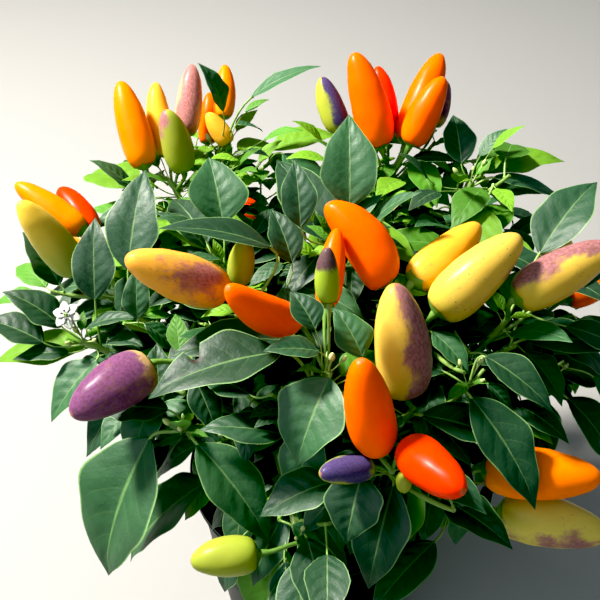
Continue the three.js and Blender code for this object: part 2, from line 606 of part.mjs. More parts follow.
// A leaf that finds no room tries again further round its stem, lower and smaller
function turnedRow([reach, bearing, rise, aim, tilt, length, width], turn) {
  const smaller = RETRY.smaller ** turn;
  const [round, down] = [GOLDEN_ANGLE * turn, RETRY.lower * turn];
  return [reach * smaller, bearing + round, rise - down,
    aim + round, tilt - down, length * smaller, width * smaller];
}

function grow(plantlet, { twig, places, rows }) {
  const { m, pieces } = plantlet;
  if (twig && !isFree(rod(...twig, TWIG.radius + TEST.wood, TWIG.sides), m, ["blade", "fruit"])) return;
  const kept = rows.filter((row, n) => {
    const tries = Array.from({ length: RETRY.turns }, (_, turn) => leafAt(places[n], turnedRow(row, turn)));
    return tries.some((leaf) => isOwnSpace(leaf, m) && !hides(leaf) && tryLeaf(plantlet, leaf));
  });
  if (!twig || !kept.length) return;
  const solid = rod(...twig, TWIG.radius, TWIG.sides);
  pieces.push(solid);
  take(solid, "wood", m);
}

const queues = grown.map((plantlet) => seededWork(plantlet));
const longest = Math.max(...queues.map((queue) => queue.length));
for (let i = 0; i < longest; i++) {
  grown.forEach((plantlet, m) => {
    if (queues[m][i]) grow(plantlet, queues[m][i]);
  });
}

for (const { mass, pieces } of grown) {
  addNode(mass.name, largest(join(pieces).asOriginal().simplify(SMOOTHED)), foliage);
}

export default plant;
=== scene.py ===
"""The looks of a potted ornamental chilli pepper plant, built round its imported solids.

Lengths are in millimetres until a mesh is made. The plant grows again here by the rule of its solids:
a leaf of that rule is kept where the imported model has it, and then finer leaves, buds and stalks follow.
"""

import math

import bpy
import numpy as np
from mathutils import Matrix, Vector
from mathutils.bvhtree import BVHTree


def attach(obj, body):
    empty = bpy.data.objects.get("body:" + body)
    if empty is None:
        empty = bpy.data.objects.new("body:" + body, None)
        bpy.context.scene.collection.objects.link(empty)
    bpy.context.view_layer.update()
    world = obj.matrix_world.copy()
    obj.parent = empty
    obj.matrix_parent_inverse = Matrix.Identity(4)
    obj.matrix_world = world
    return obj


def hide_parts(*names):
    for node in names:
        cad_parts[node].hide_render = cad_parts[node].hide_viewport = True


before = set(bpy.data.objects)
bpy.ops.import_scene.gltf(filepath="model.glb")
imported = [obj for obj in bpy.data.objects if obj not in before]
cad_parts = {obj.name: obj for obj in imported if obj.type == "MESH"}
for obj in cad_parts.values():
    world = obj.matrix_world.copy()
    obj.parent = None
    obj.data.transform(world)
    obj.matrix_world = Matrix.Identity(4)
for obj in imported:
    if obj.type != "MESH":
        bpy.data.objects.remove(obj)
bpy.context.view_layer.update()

MM = 0.001
UP = np.array([0.0, 0.0, 1.0])

# Camera: it looks down on the crown from the showy side
VIEW = {"target": (-9, 0, 216), "distance": 390, "elevation": 40, "field": 36}

# Driving sizes, as in the solids
TRUNK = {"flare": 8, "foot": 4.8, "neck": 4, "fork": 142, "lean": (3, 2), "fall": 14, "base": 100.3}
BOUGH = {"root": 3.3, "tip": 2.4, "knob": 3.4, "bend": 0.55, "sag": 0.12}
STEM = {"root": 1.9, "tip": 1.3, "level": 0.6, "up": 0.25, "fork": 0.35}
LEAF = {"arch": 0.07, "fold": 0.16}
GOLDEN_ANGLE = 137.5
HEART_STEP = 2
FILL = {"place": (0.2, 0.98), "reach": (7, 18), "rise": (-10, 50), "swing": 30, "tilt": (-40, 18),
        "length": (32, 54), "width": 0.53}
SIDE = {"place": (0.15, 0.9), "length": (14, 34), "rise": (0, 45), "leaves": 4, "spread": 82, "apart": 3}
RETRY = {"turns": 5, "smaller": 0.9, "lower": 8}
SHOOT_FILL = 12
FINER_TURNS, FINER_SWING = 4, 50
POT = {"foot": 48, "mouth": 61, "height": 113, "wall": 1.4, "floor": 2, "rim_drop": 9, "rim_step": 1.8}
DRAINS = {"count": 6, "ring": 38, "radius": 4.5}
SOIL = {"top": 100, "dip": 2.5, "low": 2.3, "inside": 1.9, "crumbs": 420}
NO_BLUSH = (270, 20, 0.0)

# Finer growth that the solids leave out: the span of each stem where it springs, how far its ring is turned
# on, a key for its own chances, and the ranges of its rows. Kinds with masses grow only there.
YOUNG = {"count": 6, "place": (1, 1), "turn": 0, "key": 20, "rank": "young",
         "reach": (2, 6), "rise": (20, 80), "tilt": (10, 75), "length": (9, 21), "width": 0.5}
SMALL = {"count": 12, "place": (0.25, 0.97), "turn": 0.37, "key": 30, "rank": "small",
         "reach": (3, 9), "rise": (-20, 60), "tilt": (-45, 40), "length": (15, 32), "width": 0.52}
ON_TWIGS = {"count": 4, "place": (0.4, 0.95), "turn": 0.7, "key": 40}
LATER = {"twigs": 3, "fill": 6, "smaller": 0.72}
BACK = {"count": 54, "place": (0.45, 1), "turn": 0.2, "key": 80, "rank": "small",
        "reach": (3, 25), "rise": (-15, 75), "tilt": (-15, 50), "length": (12, 30), "width": 0.45,
        "masses": ["foliage_back_left", "foliage_back", "foliage_back_right", "foliage_mid_back",
                   "foliage_rear_left", "foliage_rear_right"]}
SKIRT = {"count": 26, "place": (0.1, 0.9), "spread": 170, "key": 70, "rank": "seeded",
         "reach": (8, 34), "rise": (-50, 30), "tilt": (-72, -5), "length": (28, 50), "width": 0.55,
         "masses": ["foliage_front_low", "foliage_front", "foliage_centre", "foliage_left_front",
                    "foliage_right_front", "foliage_centre_right"]}
BUD = {"count": 3, "turn": 0.5, "key": 50, "reach": (5, 11), "rise": (25, 85), "size": (0.8, 1.5),
       "clear": 2.5}

# Boughs: height where each leaves the stem, then the bearing, reach and height of its tip
BOUGHS = {
    "bough_left": (128, 172, 42, 163),
    "bough_right": (131, 2, 42, 165),
    "bough_front_left": (136, 232, 38, 162),
    "bough_front_right": (139, 300, 38, 163),
    "bough_back_left": (142, 122, 46, 172),
    "bough_back_right": (142, 58, 46, 173),
}

# Masses: name, bough and shoots. A shoot has its heart, its seeded side twigs, its fruit and its large
# leaves. A row gives the stalk's length, bearing and rise, the bearing and tilt of the blade or fruit, its
# length and its width. A fruit row ends with its skin and, where it has one, the bearing, rise and strength
# of its blush.
MASSES = [
    ("foliage_back_left", "bough_back_left", [
        ((-73, 85, 222), 7, [
            (13, 180, 30, 115, 50, 43, 16, "amber"),
            (13, 95, 25, 105, 45, 38, 13, "lemon"),
            (23, 62, 42, 82, 50, 35, 13, "mauve", 270, 40, 0.9),
            (10, 345, 35, 135, 72, 31, 15, "lime", 190, 50, 1.15),
            (32, 58, 7, 85, 50, 26, 11, "orange")], []),
        ((-50, 100, 229), 6, [
            (16, 72, 55, 88, 40, 28, 11, "amber"),
            (9, 330, 40, 150, 50, 18, 10, "lemon")], [])]),
    ("foliage_back", "bough_back_right", [
        ((34, 85, 230), 8, [
            (13, 210, 65, 127, 60, 45, 18, "orange"),
            (29, 175, 35, 127, 55, 27, 13, "indigo", 355, 40, 1.2),
            (15, 95, 45, 103, 52, 33, 13, "scarlet"),
            (13, 35, 42, 58, 47, 46, 17, "orange"),
            (18, 325, 55, 40, 56, 34, 15, "orange"),
            (31, 38, 21, 70, 40, 24, 10, "plum", 270, 20, 0.8)], [])]),
    ("foliage_back_right", "bough_back_right", [
        ((72, 70, 230), 8, [], [
            (10, 150, 50, 95, 30, 27, 16), (10, 350, 20, 0, -22, 42, 13)])]),
    ("foliage_left", "bough_left", [
        ((-102, 35, 208), 7, [
            (16, 125, 55, 155, 25, 38, 13, "amber"),
            (10, 200, -8, 187, 66, 43, 17, "turning"),
            (16, 102, 25, 130, 22, 30, 14, "scarlet")], [
            (24, 175, -35, 140, 45, 30, 17)])]),
    ("foliage_left_edge", "bough_left", [
        ((-106, 5, 188), 5, [], [
            (11, 160, 30, 165, 30, 30, 19), (17, 185, 0, 165, 15, 30, 18), (8, 215, -25, 185, -5, 25, 12),
            (11, 315, -25, 225, -35, 34, 19), (23, 20, 68, 90, 50, 36, 19), (11, 335, 65, 350, 20, 26, 10),
            (14, 340, 15, 330, 20, 21, 12)])]),
    ("foliage_centre_left", "bough_left", [
        ((-32, -12, 220), 6, [
            (18, 222, 60, 198, 35, 44, 19, "honey", 285, 30, 0.82),
            (12, 110, 60, 30, 79, 21, 11, "lime")], [
            (30, 35, 62, 192, 20, 46, 17), (28, 30, 35, 115, 35, 25, 15)]),
        ((-79, 3, 203), 5, [], [
            (23, 115, 73, 80, 40, 45, 23), (13, 280, 40, 90, 55, 22, 12)])]),
    ("foliage_left_front", "bough_front_left", [
        ((-58, -26, 206), 5, [
            (13, 208, 12, 222, -4, 37, 21, "plum", 240, 30, 0.9)], [
            (18, 214, -52, 95, 40, 22, 13)]),
        ((-57, -46, 186), 6, [], [
            (13, 190, -10, 230, -60, 68, 33), (30, 340, -70, 190, -50, 62, 27),
            (11, 310, 5, 320, -40, 50, 24)])]),
    ("foliage_centre", "bough_front_left", [
        ((2, -48, 221), 7, [
            (30, 95, 78, 96, 73, 21, 9, "tipped", 270, 20, 0.9),
            (24, 125, 22, 212, 46, 41, 15, "orange"),
            (26, 92, 30, 80, 37, 32, 11, "orange")], [
            (9, 270, 30, 240, -45, 35, 24), (13, 210, 70, 195, 15, 22, 12), (19, 145, 70, 125, 25, 18, 13),
            (20, 175, 25, 200, -5, 52, 26), (14, 22, 10, 125, 32, 22, 16)])]),
    ("foliage_mid_back", "bough_back_left", [
        ((6, 14, 234), 6, [], [
            (22, 205, 42, 97, 45, 28, 15), (17, 50, 60, 90, 45, 40, 24)]),
        ((-42, 12, 222), 6, [], [
            (20, 90, 50, 105, 35, 32, 25)])]),
    ("foliage_centre_back", "bough_right", [
        ((26, -5, 217), 6, [
            (12, 0, 88, 146, 44, 41, 20, "orange")], [])]),
    ("foliage_right_top", "bough_right", [
        ((43, -10, 211), 7, [
            (13, 304, 62, 25, 37, 45, 21, "cream", 330, -10, 0.35),
            (19, 125, 60, 42, 13, 42, 17, "lemon")], [
            (7, 290, 12, 310, -20, 23, 12)])]),
    ("foliage_right", "bough_right", [
        ((79, -5, 210), 7, [
            (14, 278, 77, 18, 23, 45, 20, "cream", 95, 60, 0.9)], [
            (30, 52, 47, 47, 22, 45, 23), (18, 330, -57, 315, -35, 28, 16)]),
        ((102, -12, 178), 6, [], [
            (9, 330, -35, 325, -45, 42, 22)])]),
    ("foliage_centre_right", "bough_front_right", [
        ((36, -45, 198), 6, [
            (8, 180, 64, 113, 70, 47, 22, "cream", 345, 20, 1.0)], [
            (6, 297, 10, 352, -20, 44, 20)])]),
    ("foliage_front", "bough_front_right", [
        ((25, -78, 199), 6, [
            (11, 153, 53, 159, 79, 43, 18, "orange"),
            (14, 0, 70, 299, 17, 33, 17, "scarlet"),
            (9, 190, 25, 205, 18, 22, 11, "indigo", 240, 50, 1.35),
            (8, 300, -10, 250, 70, 14, 6, "lime")], [
            (11, 180, -5, 250, -50, 27, 22), (24, 170, -27, 200, -15, 31, 20),
            (13, 65, -71, 248, -53, 43, 22)])]),
    ("foliage_right_front", "bough_front_right", [
        ((59, -36, 202), 6, [], [
            (14, 30, 65, 325, -22, 34, 18), (9, 265, 10, 308, -36, 50, 24)]),
        ((60, -52, 158), 6, [
            (13, 0, 58, 348, 7, 46, 22, "amber"),
            (19, 338, -32, 345, 0, 45, 22, "straw", 300, -10, 0.75)], [
            (18, 225, 20, 320, -5, 34, 18), (27, 230, -45, 220, -25, 40, 20)])]),
    ("foliage_front_low", "bough_front_left", [
        ((-9, -80, 156), 7, [
            (18, 200, 8, 190, 4, 26, 16, "lime")], [])]),
    ("foliage_right_back", "bough_right", [
        ((112, 45, 170), 8, [
            (12, 20, 30, 20, 15, 36, 16, "orange"),
            (15, 80, 20, 65, 5, 40, 18, "cream", 90, 40, 0.7)], [])]),
    ("foliage_rear_left", "bough_back_left", [
        ((-42, 112, 158), 8, [
            (14, 80, 20, 90, -5, 42, 18, "scarlet"),
            (14, 140, 10, 135, 5, 36, 16, "cream", 120, 40, 0.6)], []),
        ((-98, 76, 168), 7, [
            (12, 140, 30, 150, 10, 40, 17, "amber")], [])]),
    ("foliage_rear_right", "bough_back_right", [
        ((42, 114, 164), 8, [
            (14, 60, 20, 65, 10, 42, 19, "lemon", 90, 40, 0.3),
            (14, 115, 15, 120, 5, 38, 16, "plum", 90, 40, 0.9)], []),
        ((88, 88, 176), 7, [], [])]),
]


# Fruit that are clearly bowed: mass, shoot and place in its row, then how far and to which side, in mm
BOWS = {("foliage_centre_back", 0, 0): (3.4, 20, 35), ("foliage_centre", 0, 1): (2.6, 250, -30),
        ("foliage_back_left", 0, 1): (1.5, 180, 0)}

# The leaf with a bite out of its margin, and how deep that goes
BITTEN = {("foliage_centre", 0, 3): 0.55}

# Large leaves that open wider than their solids
WIDER = {("foliage_left_front", 1, 0): 1.25, ("foliage_centre", 0, 0): 1.15}

# Leaves that stand up before a fruit: mass and shoot, then rows as above
UPRIGHT = {("foliage_back_left", 1): [(28, 300, 70, 155, 62, 25, 14)]}

# Small light leaves at the top of the back: mass and shoot, then rows as above
SPRIGS = {
    ("foliage_back_left", 0): [
        (9, 40, 55, 20, 25, 17, 8), (10, 300, 45, 320, 15, 19, 9), (8, 220, 50, 215, 20, 18, 9)],
    ("foliage_back_left", 1): [
        (26, 24, 79, 140, 53, 26, 11), (35, 354, 59, 11, 22, 36, 12), (32, 344, 47, 349, 14, 31, 11),
        (30, 333, 26, 348, 22, 20, 9), (15, 293, 55, 180, 24, 20, 9), (21, 308, 68, 13, 31, 13, 7),
        (27, 352, 56, 25, 19, 13, 6), (20, 305, 12, 209, 21, 15, 8), (24, 320, 35, 335, 5, 24, 10)],
    ("foliage_back", 0): [
        (36, 185, 24, 171, 35, 17, 8), (33, 196, 14, 197, 14, 20, 10), (36, 64, 77, 134, 55, 15, 7),
        (17, 310, 33, 204, 17, 22, 9), (20, 280, 10, 240, 10, 26, 12), (14, 235, 5, 215, -5, 24, 12)],
    ("foliage_back_right", 0): [
        (20, 170, 57, 146, 49, 13, 7), (28, 167, 21, 323, 14, 21, 9), (24, 220, 10, 230, 5, 24, 11),
        (48, 338, 1, 342, -17, 16, 6)],
}

# Open flowers: mass and shoot, the stalk's length, bearing and rise, and the way the flower faces
FLOWERS = [("foliage_left_edge", 0, 14, 150, 62, 262, 48), ("foliage_rear_right", 0, 12, 80, 60, 95, 45),
           ("foliage_rear_left", 1, 12, 150, 55, 150, 50)]

# The rule of growth

def chance(*keys):
    """A repeatable number from 0 to 1 for whole-number keys: the loose part of a tall sine wave."""
    mixed = sum((key + 1) * (12.9898 + 7.233 * place) for place, key in enumerate(keys))
    wave = math.sin(mixed) * 4375.5453
    return wave - math.floor(wave)


def pick(span, *keys):
    """A repeatable number between the two ends of a span."""
    return span[0] + (span[1] - span[0]) * chance(*keys)


def heading(bearing, rise):
    """Unit vector from a bearing, 0 along +X and 90 along +Y, and a rise above level."""
    b, r = math.radians(bearing), math.radians(rise)
    return np.array([math.cos(r) * math.cos(b), math.cos(r) * math.sin(b), math.sin(r)])


# From the crown towards the camera
SIGHT = heading(270, VIEW["elevation"])


def unit(vectors):
    """Vectors made one long."""
    return vectors / np.maximum(np.linalg.norm(vectors, axis=-1, keepdims=True), 1e-9)


class Path:
    """A curve that leaves start towards bend and reaches end, measured by its own length."""

    DIVISIONS = np.linspace(0, 1, 201)

    def __init__(self, start, bend, end):
        self.knots = np.array([start, bend, end], float)
        steps = np.linalg.norm(np.diff(self.point(self.DIVISIONS), axis=0), axis=1)
        self.lengths = np.concatenate([[0], np.cumsum(steps)])

    def point(self, t):
        """(1 - t) squared times start, plus 2 t (1 - t) times bend, plus t squared times end."""
        t = np.asarray(t, float)[..., None]
        start, bend, end = self.knots
        return (1 - t) ** 2 * start + 2 * t * (1 - t) * bend + t ** 2 * end

    def along(self, share):
        """The point at a share of the curve's length."""
        return self.point(np.interp(np.asarray(share) * self.lengths[-1], self.lengths, self.DIVISIONS))

    def root_below(self, place):
        """Where the stalk in that place of the row springs, a few millimetres below the heart."""
        return self.along(1 - HEART_STEP * (place + 0.5) / self.lengths[-1])


def trunk_point(height):
    """A point on the trunk's middle line."""
    foot = np.array([0, 0, TRUNK["base"]])
    top = np.array([*TRUNK["lean"], TRUNK["fork"]], float)
    return foot + (top - foot) * (height - foot[2]) / (top[2] - foot[2])


def bough_path(name):
    """A bough leaves the trunk low and level and turns up."""
    start_height, bearing, reach, top = BOUGHS[name]
    start = trunk_point(start_height)
    end = heading(bearing, 0) * reach + np.array([start[0], start[1], top])
    bend = start + BOUGH["bend"] * (end - start) - UP * BOUGH["sag"] * reach
    return Path(start, bend, end)


def stem_path(start, heart):
    """A stem leaves level and turns up towards its heart."""
    share = np.array([STEM["level"], STEM["level"], STEM["up"]])
    return Path(start, start + share * (np.asarray(heart, float) - start), heart)


class Blade:
    """One leaf: where its stalk and blade start, its axes and its size."""

    def __init__(self, heart, row, start=None):
        reach, bearing, rise, aim, tilt, length, width = row
        self.start = np.asarray(heart if start is None else start, float)
        self.base = heart + reach * heading(bearing, rise)
        self.forward = heading(aim, tilt)
        self.across = unit(np.cross(self.forward, UP))
        self.face = np.cross(self.across, self.forward)
        self.length, self.width, self.bite = length, width, 0.0

    def point(self, share):
        """A point on the rib, which arches by 4 u (1 - u)."""
        lift = self.length * LEAF["arch"] * 4 * share * (1 - share)
        return self.base + self.forward * self.length * share + self.face * lift


class Pod:
    """One fruit: where its stalk and body start, its axis, its size and its skin."""

    def __init__(self, heart, row, start):
        reach, bearing, rise, aim, tilt, length, girth, self.skin, *blush = row
        side, lift, self.blush = blush or NO_BLUSH
        self.start = start
        self.seat = heart + reach * heading(bearing, rise)
        self.forward = heading(aim, tilt)
        self.length, self.radius = length, girth / 2
        self.blush_side = heading(side, lift)


def seeded_leaf(bearing, *keys):
    """A row for one seeded leaf: the keys decide its size and the way it points."""
    length = pick(FILL["length"], *keys, 3)
    aim = bearing + FILL["swing"] * (chance(*keys, 4) - 0.5)
    return (pick(FILL["reach"], *keys, 0), bearing, pick(FILL["rise"], *keys, 1),
            aim, pick(FILL["tilt"], *keys, 2), length, FILL["width"] * length)


def turned_row(row, turn):
    """The same leaf tried again further round its stem, lower and smaller."""
    reach, bearing, rise, aim, tilt, length, width = row
    smaller = RETRY["smaller"] ** turn
    onward, down = GOLDEN_ANGLE * turn, RETRY["lower"] * turn
    return (reach * smaller, bearing + onward, rise - down,
            aim + onward, tilt - down, length * smaller, width * smaller)


def outward_bearing(path):
    """The bearing from a stem's root to its heart."""
    away = path.knots[2] - path.knots[0]
    return math.degrees(math.atan2(away[1], away[0]))


def stem_work(m, s, path, twigs, fill=SHOOT_FILL, later=0):
    """Seeded work on one stem: side twigs that end in a ring of leaves, and leaves up the stem.

    Each piece of work is a twig, or None, with the places and rows of its leaves.
    """
    outward = outward_bearing(path)
    work = []
    for k in range(twigs):
        low, high = SIDE["place"]
        start = path.along(low + (high - low) * (k + 0.5) / twigs)
        bearing = outward + GOLDEN_ANGLE * (k + 0.5 + later / 3)
        end = start + heading(bearing, pick(SIDE["rise"], m, s, k + later, 7)) * pick(
            SIDE["length"], m, s, k + later, 8)
        middle = (SIDE["leaves"] - 1) / 2
        rows = [seeded_leaf(bearing + SIDE["spread"] * (n - middle), m, s, k + later, n, 9)
                for n in range(SIDE["leaves"])]
        reach = np.linalg.norm(end - start)
        places = [start + (end - start) * (1 - n * SIDE["apart"] / reach) for n in range(SIDE["leaves"])]
        work.append(((start, end), places, rows))
    for k in range(fill):
        low, high = FILL["place"]
        place = path.along(low + (high - low) * (k + 0.5) / fill)
        work.append((None, [place], [seeded_leaf(outward + GOLDEN_ANGLE * (k + later / 3), m, s, k + later)]))
    return work


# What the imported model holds

def read(items, name, width, kind=np.float32):
    """One value of every item of a mesh, as rows of that width."""
    values = np.empty(len(items) * width, kind)
    items.foreach_get(name, values)
    return values.reshape(-1, width)


def node_points(name):
    """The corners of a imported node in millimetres."""
    return read(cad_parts[name].data.vertices, "co", 3).astype(float) / MM


def nearest(points, others):
    """For each point, the distance to the nearest of the others."""
    points, others = np.atleast_2d(points), np.atleast_2d(others)
    square = (points ** 2).sum(1)[:, None] + (others ** 2).sum(1) - 2 * points @ others.T
    return np.sqrt(np.maximum(square.min(1), 0))


# A packed leaf's tip lies this close to a corner of its mass
FOUND = 0.12

# Masses whose fruit the showy side doesn't show
UNSEEN = ["foliage_rear_left", "foliage_rear_right", "foliage_right_back"]


class Plant:
    """The whole plant as lists: stems, twigs, leaves, fruit and buds, each with the number of its mass."""

    def __init__(self):
        self.stems, self.twigs, self.blades, self.pods, self.buds = [], [], [], [], []
        self.room = Room([name for name, _, _ in MASSES] + list(BOUGHS) + ["trunk", "soil", "pot"])
        for m, (name, bough, shoots) in enumerate(MASSES):
            self.grow_mass(m, node_points(name), bough_path(bough).point(1.0), shoots)
        self.shown = [(pod.seat, pod.forward * pod.length, pod.radius) for pod in self.pods
                      if MASSES[pod.mass][0] not in UNSEEN]
        self.shown += [(blade.base, blade.forward * blade.length, blade.width / 3) for blade in self.blades
                       if blade.rank == "large"]
        for m, s, path, _ in list(self.stems):
            for rank, table in (("large", UPRIGHT), ("sprig", SPRIGS)):
                for k, row in enumerate(table.get((MASSES[m][0], s), [])):
                    blade = Blade(path.point(1.0), row, path.root_below(k * 0.7))
                    if (rank == "large" or self.is_open(blade, 2)) and self.room.take(blade):
                        self.keep(blade, m, rank)
        for m, s, path, _ in list(self.stems):
            self.grow_finer(m, s, path)

    def grow_mass(self, m, corners, root, shoots):
        """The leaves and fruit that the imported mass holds."""
        name = MASSES[m][0]
        main = stem_path(root, shoots[0][0])
        for s, (heart, twigs, fruit, leaves) in enumerate(shoots):
            path = main if s == 0 else stem_path(main.along(STEM["fork"]), heart)
            end = path.point(1.0)
            self.stems.append((m, s, path, s == 0))
            for k, row in enumerate(fruit):
                pod = Pod(end, row, path.root_below(k))
                bow, bearing, rise = BOWS.get((name, s, k), (0.6, 360 * chance(m, s, k, 60), 0))
                side = heading(bearing, rise)
                pod.mass, pod.bow = m, bow * unit(side - side @ pod.forward * pod.forward)
                self.pods.append(pod)
            for k, row in enumerate(leaves):
                blade = Blade(end, row, path.root_below(len(fruit) + k))
                blade.bite = BITTEN.get((name, s, k), 0.0)
                blade.width *= WIDER.get((name, s, k), 1.0)
                if self.first_held([blade], corners):
                    self.keep(blade, m, "large")
            for twig, places, rows in stem_work(m, s, path, twigs):
                kept = 0
                for place, row in zip(places, rows):
                    tries = [Blade(place, turned_row(row, turn)) for turn in range(RETRY["turns"])]
                    blade = self.first_held(tries, corners)
                    if blade:
                        self.keep(blade, m, "seeded")
                        kept += 1
                if twig and kept:
                    self.twigs.append((m, twig))

    def keep(self, blade, m, rank):
        """A leaf joins the plant with its mass and its rank."""
        blade.mass, blade.rank = m, rank
        self.blades.append(blade)

    @staticmethod
    def first_held(tries, corners):
        """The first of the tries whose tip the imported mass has, or None."""
        away = nearest([blade.point(1.0) for blade in tries], corners)
        found = np.flatnonzero(away < FOUND)
        return tries[found[0]] if len(found) else None

    def grow_finer(self, m, s, path):
        """Young leaves round the heart, small leaves along the stem and twigs, and buds at the heart."""
        heart, outward = path.point(1.0), outward_bearing(path)
        self.grow_ring(YOUNG, m, s, path)
        self.grow_ring(SMALL, m, s, path)
        for t, (start, end) in enumerate([twig for mass, twig in self.twigs if mass == m and s == 0]):
            aim = math.degrees(math.atan2(*(end - start)[1::-1]))
            low, high = ON_TWIGS["place"]
            for k in range(ON_TWIGS["count"]):
                place = start + (end - start) * (low + (high - low) * k / ON_TWIGS["count"])
                bearing = aim + GOLDEN_ANGLE * (k + ON_TWIGS["turn"])
                self.try_finer(m, place, self.loose_row(SMALL, bearing, m, t, k, ON_TWIGS["key"]), "small")
        for twig, places, rows in stem_work(m, s, path, LATER["twigs"], LATER["fill"], later=1):
            rows = [(*row[:5], LATER["smaller"] * row[5], LATER["smaller"] * row[6]) for row in rows]
            kept = [self.try_finer(m, place, row, "small") for place, row in zip(places, rows)]
            if twig and any(kept):
                self.twigs.append((m, twig))
        self.grow_ring(BACK, m, s, path)
        self.grow_ring(SKIRT, m, s, path)
        for k in range(BUD["count"]):
            bearing = outward + GOLDEN_ANGLE * (k + BUD["turn"]) * 2
            reach, rise, size = (pick(BUD[name], m, s, k, BUD["key"] + n)
                                 for n, name in enumerate(("reach", "rise", "size")))
            tip = heart + reach * heading(bearing, rise)
            if self.room.is_clear(tip, self.pods, BUD["clear"]):
                self.buds.append((m, path.root_below(k * 0.5), tip, size))

    def grow_ring(self, kind, m, s, path):
        """Leaves of one kind up a stem, each turned on by the golden angle or loosely outward."""
        if MASSES[m][0] not in kind.get("masses", [MASSES[m][0]]):
            return
        low, high = kind["place"]
        for k in range(kind["count"]):
            onward = (kind["spread"] * (chance(m, s, k, kind["key"] + 1) - 0.5) if "spread" in kind
                      else GOLDEN_ANGLE * (k + kind["turn"]))
            row = self.loose_row(kind, outward_bearing(path) + onward, m, s, k, kind["key"])
            self.try_finer(m, path.along(low + (high - low) * (k + 0.5) / kind["count"]), row, kind["rank"])

    @staticmethod
    def loose_row(kind, bearing, *keys):
        """A row for a leaf of some kind of finer growth."""
        length = pick(kind["length"], *keys, 3)
        return (pick(kind["reach"], *keys, 0), bearing, pick(kind["rise"], *keys, 1),
                bearing + FINER_SWING * (chance(*keys, 4) - 0.5), pick(kind["tilt"], *keys, 2),
                length, kind["width"] * length)

    def try_finer(self, m, place, row, rank):
        """The first turn of a finer leaf that finds room joins the plant. Returns whether one did."""
        for turn in range(FINER_TURNS):
            blade = Blade(place, turned_row(row, turn))
            if self.is_open(blade, 3) and self.room.take(blade):
                self.keep(blade, m, rank)
                return True
        return False

    def is_open(self, blade, clear):
        """Whether a leaf's middle is clear of every fruit and the leaf hides none of what shows."""
        return self.room.is_clear(blade.point(0.5), self.pods, clear) and not self.hides(blade)

    def hides(self, blade):
        """Whether a leaf would stand before a fruit or a large leaf, seen from the showy side."""
        samples = np.array([blade.point(u) for u in (0.0, 0.3, 0.6, 1.0)]
                           + [blade.point(0.4) + side * blade.across * blade.width / 2 for side in (-1, 1)])
        for start, span, wide in self.shown:
            spots = start + span * np.array([0.1, 0.35, 0.6, 0.85])[:, None]
            away = samples[:, None] - spots
            depth = away @ SIGHT
            beside = np.linalg.norm(away - depth[..., None] * SIGHT, axis=-1)
            if np.any((depth > 0) & (beside < wide + 1.5)):
                return True
        return False


class Room:
    """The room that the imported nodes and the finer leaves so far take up."""

    OUTLINE = ((0.0, 0.12), (0.3, 1.0), (0.68, 0.68), (1.0, 0.1))

    def __init__(self, names):
        corners, faces, count = [], [], 0
        for name in names:
            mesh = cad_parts[name].data
            mesh.calc_loop_triangles()
            corners.append(node_points(name))
            faces.append(read(mesh.loop_triangles, "vertices", 3, np.int32) + count)
            count += len(corners[-1])
        self.tree = BVHTree.FromPolygons(np.concatenate(corners).tolist(), np.concatenate(faces).tolist())
        self.leaves = []

    @classmethod
    def hull(cls, blade):
        """A closed sleeve round a blade, a little larger all round."""
        rings = []
        for share, wide in cls.OUTLINE:
            half = blade.width / 2 * wide + 0.8
            centre = blade.point(share)
            lift = blade.face * (LEAF["fold"] * wide * blade.width / 2)
            rings.append([centre - blade.across * half + lift, centre + blade.face * 1.1,
                          centre + blade.across * half + lift, centre - blade.face * 1.1])
        points = np.array(rings).reshape(-1, 3)
        faces = [[4 * i + j, 4 * i + (j + 1) % 4, 4 * i + 4 + (j + 1) % 4, 4 * i + 4 + j]
                 for i in range(len(rings) - 1) for j in range(4)]
        return points, BVHTree.FromPolygons(points.tolist(), faces)

    def take(self, blade):
        """Keep a blade if its sleeve is free, and say whether it is."""
        points, tree = self.hull(blade)
        low, high = points.min(0), points.max(0)
        if self.tree.overlap(tree):
            return False
        for other_low, other_high, other in self.leaves:
            if np.all(low <= other_high) and np.all(other_low <= high) and other.overlap(tree):
                return False
        self.leaves.append((low, high, tree))
        return True

    @staticmethod
    def is_clear(point, pods, clear):
        """Whether a point lies outside every fruit."""
        for pod in pods:
            share = np.clip((point - pod.seat) @ pod.forward / pod.length, 0, 1)
            if np.linalg.norm(point - pod.seat - pod.forward * pod.length * share) < pod.radius + clear:
                return False
        return True


# Skins: many closed sweeps in one mesh

